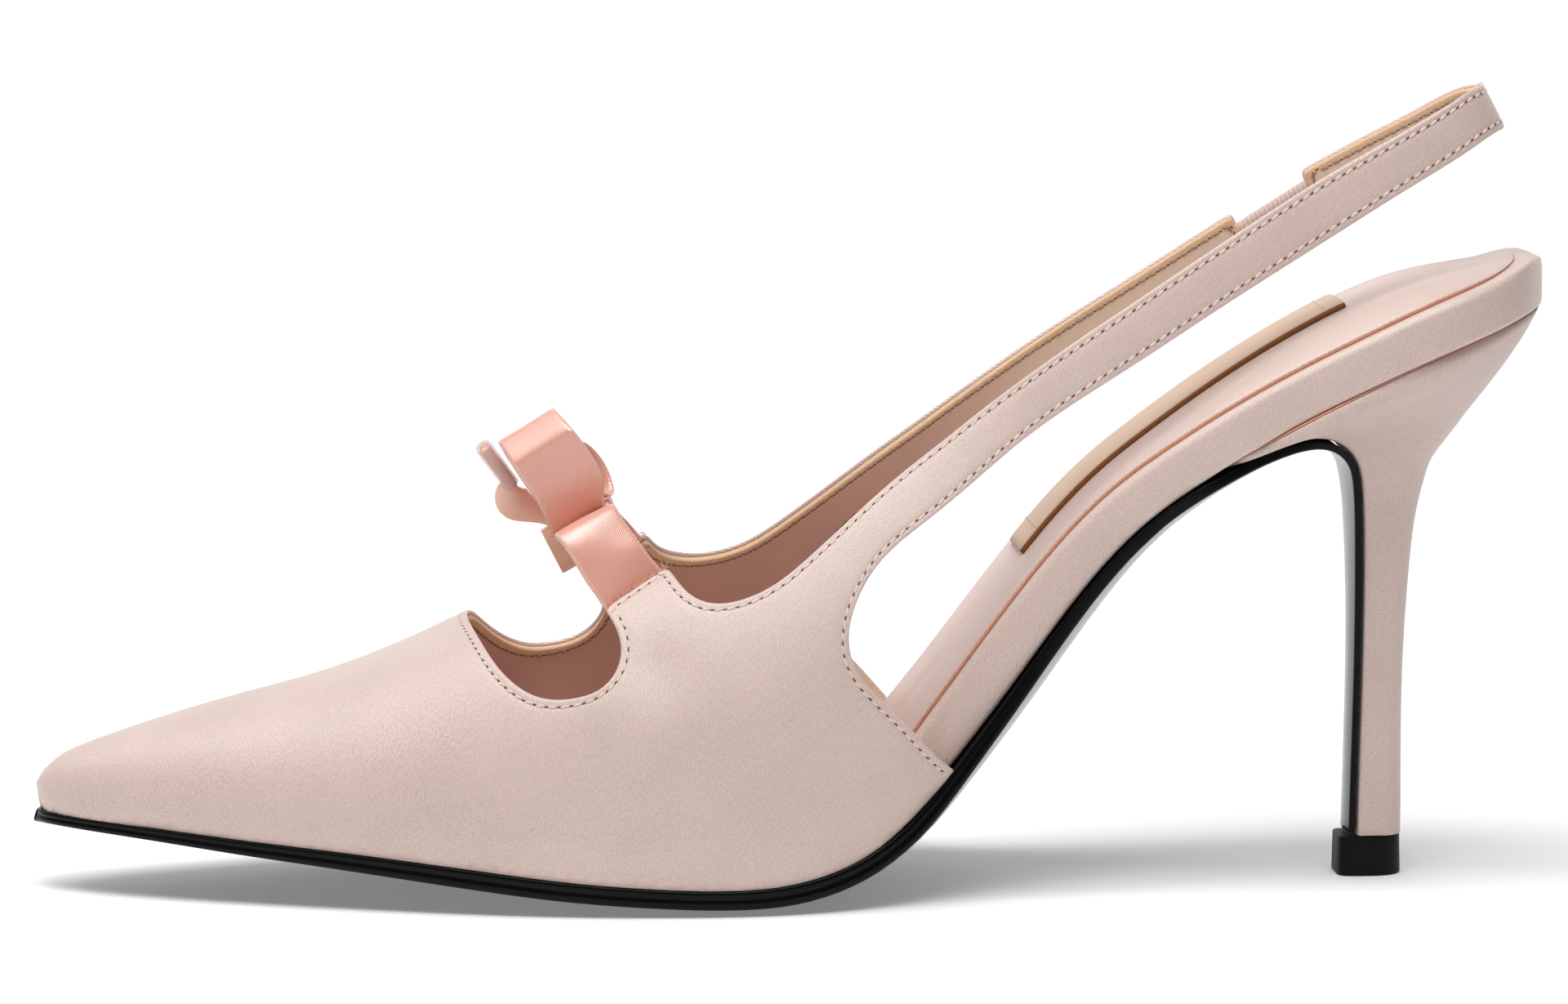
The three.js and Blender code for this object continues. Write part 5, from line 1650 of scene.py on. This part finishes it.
def make_sock():
    """Padded satin sock with a coral raw edge."""

    def half(board, x, width, sign):
        lift = board.thick + SOCK.lift
        edge = float(SOCK_PAD.edge(x))
        points = [board_point(board, sign * width, lift + share * edge) for share in SOCK_SIDE]
        for t in SOCK_TOP:
            corner = max(0.0, (t - SOCK_CORNER.start) / (1 - SOCK_CORNER.start)) ** 2
            rise = lift + pad_rise(x, sign * t) - SOCK_CORNER.drop * edge * corner
            points.append(board_point(board, sign * (width * t), rise))
        return points

    rings = []
    for x in [x for x in stations() if SOCK.start < x < SOCK.end] + [SOCK.end]:
        board = board_at(x)
        outer, inner = sock_widths(x)
        middle = board_point(board, 0, board.thick + SOCK.lift + pad_rise(x, 0))
        rings.append(half(board, x, outer, -1) + [middle] + half(board, x, inner, 1)[::-1])
    points, faces, uv = loft(rings)
    around = len(rings[0])
    edge = {0, 1, around - 2, around - 3}
    kinds = [1 if f < (len(rings) - 1) * around and f % around in edge else 0 for f in range(len(faces))]
    sock = make_piece("sock", points, faces, ["satin", "coral"], ["sock"], uv, kinds)


def label_point(x, y, rise):
    """Point over the sock's top, without its creases."""
    board = board_at(x)
    outer, inner = sock_widths(x)
    dome = pad_dome(x, y / (outer if y < 0 else inner))
    return board_point(board, y, board.thick + LABEL.lift + dome + rise)


def make_label():
    """Leather strip on the sock, with a row of stitches across each end."""
    shares = np.linspace(-1, 1, 21)
    ys = shares * LABEL.half
    rings = []
    for x in np.linspace(LABEL.start, LABEL.end, 60):
        near_end = min(x - LABEL.start, LABEL.end - x)
        ease = LABEL.end_round * max(0.0, 1 - near_end / LABEL.end_run) ** 2
        tops = LABEL.thick - ease - LABEL.side_round * np.abs(shares) ** LABEL.side_square
        top = [label_point(x, y, rise) for y, rise in zip(ys, tops)]
        low = [label_point(x, y, 0) for y in ys]
        rings.append(top + low[::-1])
    points, faces, uv = loft(rings)
    around = len(rings[0])
    sides = (len(ys) - 1, around - 1)
    kinds = [1 if f >= (len(rings) - 1) * around or f % around in sides else 0 for f in range(len(faces))]
    finishes = ["label", "label edge"]
    make_piece("sock_label", points, faces, finishes, ["sock_label"], uv, kinds)

    reach = LABEL.half - LABEL.stitch_from_side
    ys = np.linspace(-reach, reach, 40)
    lines = []
    for x in (LABEL.start + LABEL.stitch_from_end, LABEL.end - LABEL.stitch_from_end):
        points = np.array([label_point(x, y, LABEL.thick) for y in ys])
        lines.append((points, np.tile(board_at(x).up, (len(ys), 1))))
    sew("label_stitching", lines, Pitch=2.0 * MM, Length=1.3 * MM, Width=0.4 * MM, Hole=0.3 * MM)


# Heel

def heel_ring(row, count, seat=None):
    """Ring round a slanted section of the heel, or with seat given, so far below the board's underside."""
    front = np.array((row.front_x, 0, row.front_z))
    back = np.array((row.back_x, 0, row.back_z))
    middle = (front + back) / 2
    ring = []
    for k in range(count):
        angle = 2 * math.pi * k / count
        lengthways = -math.cos(angle)
        power = 2 / (row.square if lengthways < 0 else HEEL_BACK)
        share = abs(lengthways) ** power
        width = math.copysign(abs(math.sin(angle)) ** power, math.sin(angle)) * row.half
        p = middle + ((front if lengthways < 0 else back) - middle) * share
        p[1] = width
        if seat is not None:
            p[2] = BOTTOM.height(p[0]) - seat
        ring.append(p)
    return ring


def make_heel():
    """Satin-covered heel, and the coral seam between it and the board."""
    rows = fill(HEEL, HEEL_ROWS, 6)
    rings = [heel_ring(rows[0], HEEL_AROUND, SEAT_GAP)] + [heel_ring(row, HEEL_AROUND) for row in rows[1:]]
    points, faces, uv = loft(rings)
    make_piece("heel", points, faces, ["satin"], ["heel"], uv)

    seam = []
    for below, inward in SEAM_ROWS:
        row = SimpleNamespace(**vars(rows[0]))
        row.front_x += inward
        row.back_x -= inward
        row.half -= inward
        seam.append(heel_ring(row, SEAM_AROUND, below * GLUE))
    points, faces, uv = loft(seam)
    make_piece("heel_seam", points, faces, ["coral"], (), uv)


def make_heel_tip():
    """Top piece under the heel."""
    rings = []
    for z, step in TIP_ROWS:
        row = SimpleNamespace(front_x=TIP.front + step, front_z=z, back_x=TIP.back - step, back_z=z,
                              half=TIP.half - step, square=TIP.square)
        rings.append(heel_ring(row, HEEL_AROUND))
    points, faces, uv = loft(rings)
    make_piece("heel_tip", points, faces, ["top piece"], ["heel_tip"], uv)


# Bow

ALONG_INSTEP = np.array((math.cos(SLOPE), 0, math.sin(SLOPE)))
OUT_OF_INSTEP = np.array((-math.sin(SLOPE), 0, math.cos(SLOPE)))


def bow_vector(w, y, n):
    return ALONG_INSTEP * w + OUT_OF_INSTEP * n + np.array((0, y, 0))


def bow_point(w, y, n):
    return KNOT + bow_vector(w, y, n)


RIBBON_HALF = 5.0  # half width of the ribbon in its own pattern
BOW_AROUND = 40  # points round a gathered piece of ribbon
# Pattern places round such a piece, which shows the ribbon without its selvedges.
GATHERED = RIBBON_HALF * np.linspace(-0.8, 0.8, BOW_AROUND + 1)


def make_ribbon(name, rows, held, face_up="ribbon"):
    """Ribbon along rows of centres, cupped across its width."""
    filled = fill(RIBBON, rows, 10)
    centres = np.array([bow_point(r.w, r.y, r.n) for r in filled])
    forward = np.gradient(centres, axis=0)
    thick = sizes().ribbon / MM
    shares = np.linspace(-1, 1, 17)
    away = bow_vector(0, math.copysign(1, rows[len(rows) // 2][1]), 1)
    rings = []
    for r, centre, ahead in zip(filled, centres, forward):
        across = unit(bow_vector(r.across_w, r.across_y, r.across_n))
        face = unit(np.cross(ahead, across))
        if held == "stretched" and np.dot(face, away) < 0:
            face = -face
        ring = []
        for sign in (1, -1):
            for t in shares[::sign]:
                edge = 0.5 * thick * (1 - 0.5 * abs(t) ** 14)
                lift = r.cup * (1 - t * t) + sign * edge
                ring.append(centre + across * (t * r.width / 2) + face * lift)
        rings.append(ring)
    rounds = RIBBON_HALF * np.concatenate([shares, shares[::-1], shares[:1]])
    points, faces, uv = loft(rings, rounds=rounds)
    piece = make_piece(name, points, faces, [face_up], [name], uv)


def make_bow():
    """Bands, loops and tails of ribbon round the knot."""
    make_ribbon("ribbon_band_lateral", BAND_OUTER_ROWS, "stretched")
    make_ribbon("ribbon_band_medial", BAND_INNER_ROWS, "stretched")
    make_ribbon("bow_loop_lateral", LOOP_OUTER_ROWS, "folded")
    make_ribbon("bow_loop_medial", LOOP_INNER_ROWS, "folded")
    make_ribbon("bow_tail_medial", TAIL_INNER_ROWS, "folded", "ribbon back")
    make_pouch()
    make_knot()


def make_knot():
    """Knot as one wrapped body with pleats round it."""
    rings = []
    for row in fill(("w", "size"), KNOT_ROWS, 5):
        ring = []
        for k in range(BOW_AROUND):
            angle = 2 * math.pi * k / BOW_AROUND
            pleat = 1 + KNOT_BODY.pleat_depth * math.cos(KNOT_BODY.pleats * angle + row.w)
            c = math.cos(angle)
            s = math.sin(angle)
            y = KNOT_BODY.half * row.size * pleat * math.copysign(abs(c) ** KNOT_BODY.square, c)
            n = KNOT_BODY.high * row.size * pleat * math.copysign(abs(s) ** KNOT_BODY.square, s)
            ring.append(bow_point(row.w, y, KNOT_BODY.rise + n))
        rings.append(ring)
    points, faces, uv = loft(rings, rounds=GATHERED)
    make_piece("bow_knot", points, faces, ["ribbon"], ["bow_knot"], uv)


def make_pouch():
    """Outer tail, gathered towards the sheath."""
    angles = 2 * math.pi * np.arange(BOW_AROUND) / BOW_AROUND
    rows = fill(POUCH, POUCH_ROWS, 8)
    centres = np.array([bow_point(r.w, r.y, r.n) for r in rows])
    forward = np.gradient(centres, axis=0)
    rings = []
    for r, centre, ahead in zip(rows, centres, forward):
        tall = unit(np.cross(ahead, (0, 1, 0)))
        deep = unit(np.cross(tall, ahead))
        rings.append([
            centre + tall * (r.half * math.cos(t)) + deep * (r.depth * math.sin(t)) for t in angles])
    points, faces, uv = loft(rings, rounds=GATHERED)
    make_piece("bow_tail_lateral", points, faces, ["thin ribbon"], ["bow_tail_lateral"], uv)


def make_aglet():
    """Clear sheath, and the rolled ribbon inside it."""
    start = bow_point(*AGLET.start)
    end = bow_point(*AGLET.end)
    axis = unit(end - start)
    length = float(np.linalg.norm(end - start))
    sideways = unit(np.cross(axis, (0, 0, 1)))
    third = np.cross(axis, sideways)

    def turned(profile, ripple=0.0):
        """Rings of (radius, place along the axis), with five ripples round each."""
        rings = []
        for radius, along in profile:
            ring = []
            for k in range(BOW_AROUND):
                angle = 2 * math.pi * k / BOW_AROUND
                outward = sideways * math.cos(angle) + third * math.sin(angle)
                r = radius * (1 + ripple * math.cos(5 * angle + along))
                ring.append(start + axis * along + outward * r)
            rings.append(ring)
        return rings

    r = AGLET.radius
    bore = r - AGLET.wall
    tube = [
        (bore, 0.15), (r - 0.1, 0), (r, 0.15), (r, 2), (r, length - 0.2), (r - 0.1, length),
        (bore, length - 0.1),
    ]
    rings = turned(tube)
    points, faces, uv = loft(rings, capped=False)
    last = (len(rings) - 1) * BOW_AROUND
    for j in range(BOW_AROUND):
        k = (j + 1) % BOW_AROUND
        faces.append([last + j, last + k, k, j])
    uv = np.concatenate([uv, np.zeros((4 * BOW_AROUND, 2))])
    sheath = make_piece("aglet", points, faces, ["sheath"], ["aglet"], uv)
    edit = bmesh.new()
    edit.from_mesh(sheath.data)
    bmesh.ops.recalc_face_normals(edit, faces=edit.faces)
    edit.to_mesh(sheath.data)
    edit.free()
    core = [
        (0.55, -0.5), (0.9, -0.2), (bore - 0.12, 0.3), (bore - 0.1, 2.5), (bore - 0.14, length - 0.7),
        (bore - 0.3, length - 0.45), (0.35, length - 0.75),
    ]
    points, faces, uv = loft(turned(core, ripple=0.05), rounds=GATHERED)
    make_piece("aglet_core", points, faces, ["ribbon"], (), uv)


# Stage

def make_camera(scene):
    level = math.cos(CAMERA_RISE)
    back = np.array((
        math.sin(CAMERA_TURN) * level, -math.cos(CAMERA_TURN) * level, math.sin(CAMERA_RISE)))
    data = bpy.data.cameras.new("camera")
    data.sensor_width = SENSOR
    data.lens = PIXELS_PER_MM * CAMERA_AWAY * SENSOR / IMAGE_WIDTH
    data.clip_end = FARTHEST
    camera = bpy.data.objects.new("camera", data)
    camera.location = (LOOK_AT + back * CAMERA_AWAY) * MM
    camera.rotation_euler = Vector(-back).to_track_quat("-Z", "Y").to_euler()
    scene.collection.objects.link(camera)
    scene.camera = camera


def make_floor(scene):
    """Background paper that sweeps up behind the shoe."""
    mesh = bpy.data.meshes.new("floor")
    points = [(x, y, z) for y, z in PAPER_SWEEP for x in (-PAPER_HALF, PAPER_HALF)]
    faces = [(2 * i, 2 * i + 1, 2 * i + 3, 2 * i + 2) for i in range(len(PAPER_SWEEP) - 1)]
    mesh.from_pydata(points, [], faces)
    mesh.polygons.foreach_set("use_smooth", np.ones(len(faces), bool))
    mesh.materials.append(finish("paper"))
    floor = bpy.data.objects.new("floor", mesh)
    scene.collection.objects.link(floor)


def make_lights(scene):
    for name, place, size, power in LIGHTS:
        lamp = bpy.data.lights.new(name, "AREA")
        lamp.shape = "SQUARE"
        lamp.size = size
        lamp.energy = power
        box = bpy.data.objects.new(name, lamp)
        box.location = place
        aim = LIGHT_AIM - Vector(place)
        box.rotation_euler = aim.to_track_quat("-Z", "Y").to_euler()
        scene.collection.objects.link(box)
    world = bpy.data.worlds.new("studio")
    world.use_nodes = True
    background = world.node_tree.nodes["Background"]
    background.inputs["Color"].default_value = (1, 1, 1, 1)
    background.inputs["Strength"].default_value = WORLD_LIGHT
    scene.world = world


def make_stage():
    scene = bpy.context.scene
    scene.view_settings.view_transform = "Standard"
    make_camera(scene)
    make_floor(scene)
    make_lights(scene)


# Operators

class SHOE_OT_stage(bpy.types.Operator):
    """Camera, floor and soft studio light"""
    bl_idname = "shoe.stage"
    bl_label = "Stage"

    def execute(self, context):
        make_stage()
        return {"FINISHED"}


class SHOE_OT_upper(bpy.types.Operator):
    """Satin upper with its turned edges, lining and rows of stitching"""
    bl_idname = "shoe.upper"
    bl_label = "Upper"

    def execute(self, context):
        make_stitching(make_upper())
        return {"FINISHED"}


class SHOE_OT_elastic(bpy.types.Operator):
    """Elastic gore in the sling strap"""
    bl_idname = "shoe.elastic"
    bl_label = "Elastic"

    def execute(self, context):
        make_elastic()
        return {"FINISHED"}


class SHOE_OT_sole(bpy.types.Operator):
    """Black outsole with its grooved edge and heel breast"""
    bl_idname = "shoe.sole"
    bl_label = "Outsole"

    def execute(self, context):
        make_outsole()
        return {"FINISHED"}


class SHOE_OT_insole(bpy.types.Operator):
    """Satin-wrapped insole rim, padded sock and its leather label"""
    bl_idname = "shoe.insole"
    bl_label = "Insole"

    def execute(self, context):
        make_board()
        make_sock()
        make_label()
        return {"FINISHED"}


class SHOE_OT_heel(bpy.types.Operator):
    """Satin-covered heel, its seam and its top piece"""
    bl_idname = "shoe.heel"
    bl_label = "Heel"

    def execute(self, context):
        make_heel()
        make_heel_tip()
        return {"FINISHED"}


class SHOE_OT_bow(bpy.types.Operator):
    """Ribbon bands, loops, knot, tails and the sheath on the ribbon's end"""
    bl_idname = "shoe.bow"
    bl_label = "Bow"

    def execute(self, context):
        make_bow()
        make_aglet()
        make_fray()
        return {"FINISHED"}


OPERATORS = (
    SHOE_OT_stage, SHOE_OT_upper, SHOE_OT_elastic, SHOE_OT_sole, SHOE_OT_insole, SHOE_OT_heel, SHOE_OT_bow,
)


class SHOE_PT_panel(bpy.types.Panel):
    """Lists the shoe's pieces, sizes and colours"""
    bl_idname = "SHOE_PT_panel"
    bl_label = "Slingback pump"
    bl_space_type = "VIEW_3D"
    bl_region_type = "UI"
    bl_category = "Shoe"

    def draw(self, context):
        for operator in OPERATORS:
            self.layout.operator(operator.bl_idname)
        for group in (context.scene.shoe_sizes, context.scene.shoe_colours):
            for name in group.__annotations__:
                self.layout.prop(group, name)


CLASSES = (ShoeSizes, ShoeColours, *OPERATORS, SHOE_PT_panel)


def register():
    for made in CLASSES:
        bpy.utils.register_class(made)
    bpy.types.Scene.shoe_sizes = PointerProperty(type=ShoeSizes)
    bpy.types.Scene.shoe_colours = PointerProperty(type=ShoeColours)


def unregister():
    del bpy.types.Scene.shoe_colours
    del bpy.types.Scene.shoe_sizes
    for made in reversed(CLASSES):
        bpy.utils.unregister_class(made)


def main():
    register()
    for operator in OPERATORS:
        group, name = operator.bl_idname.split(".")
        getattr(getattr(bpy.ops, group), name)()
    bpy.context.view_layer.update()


if __name__ == "__main__":
    main()
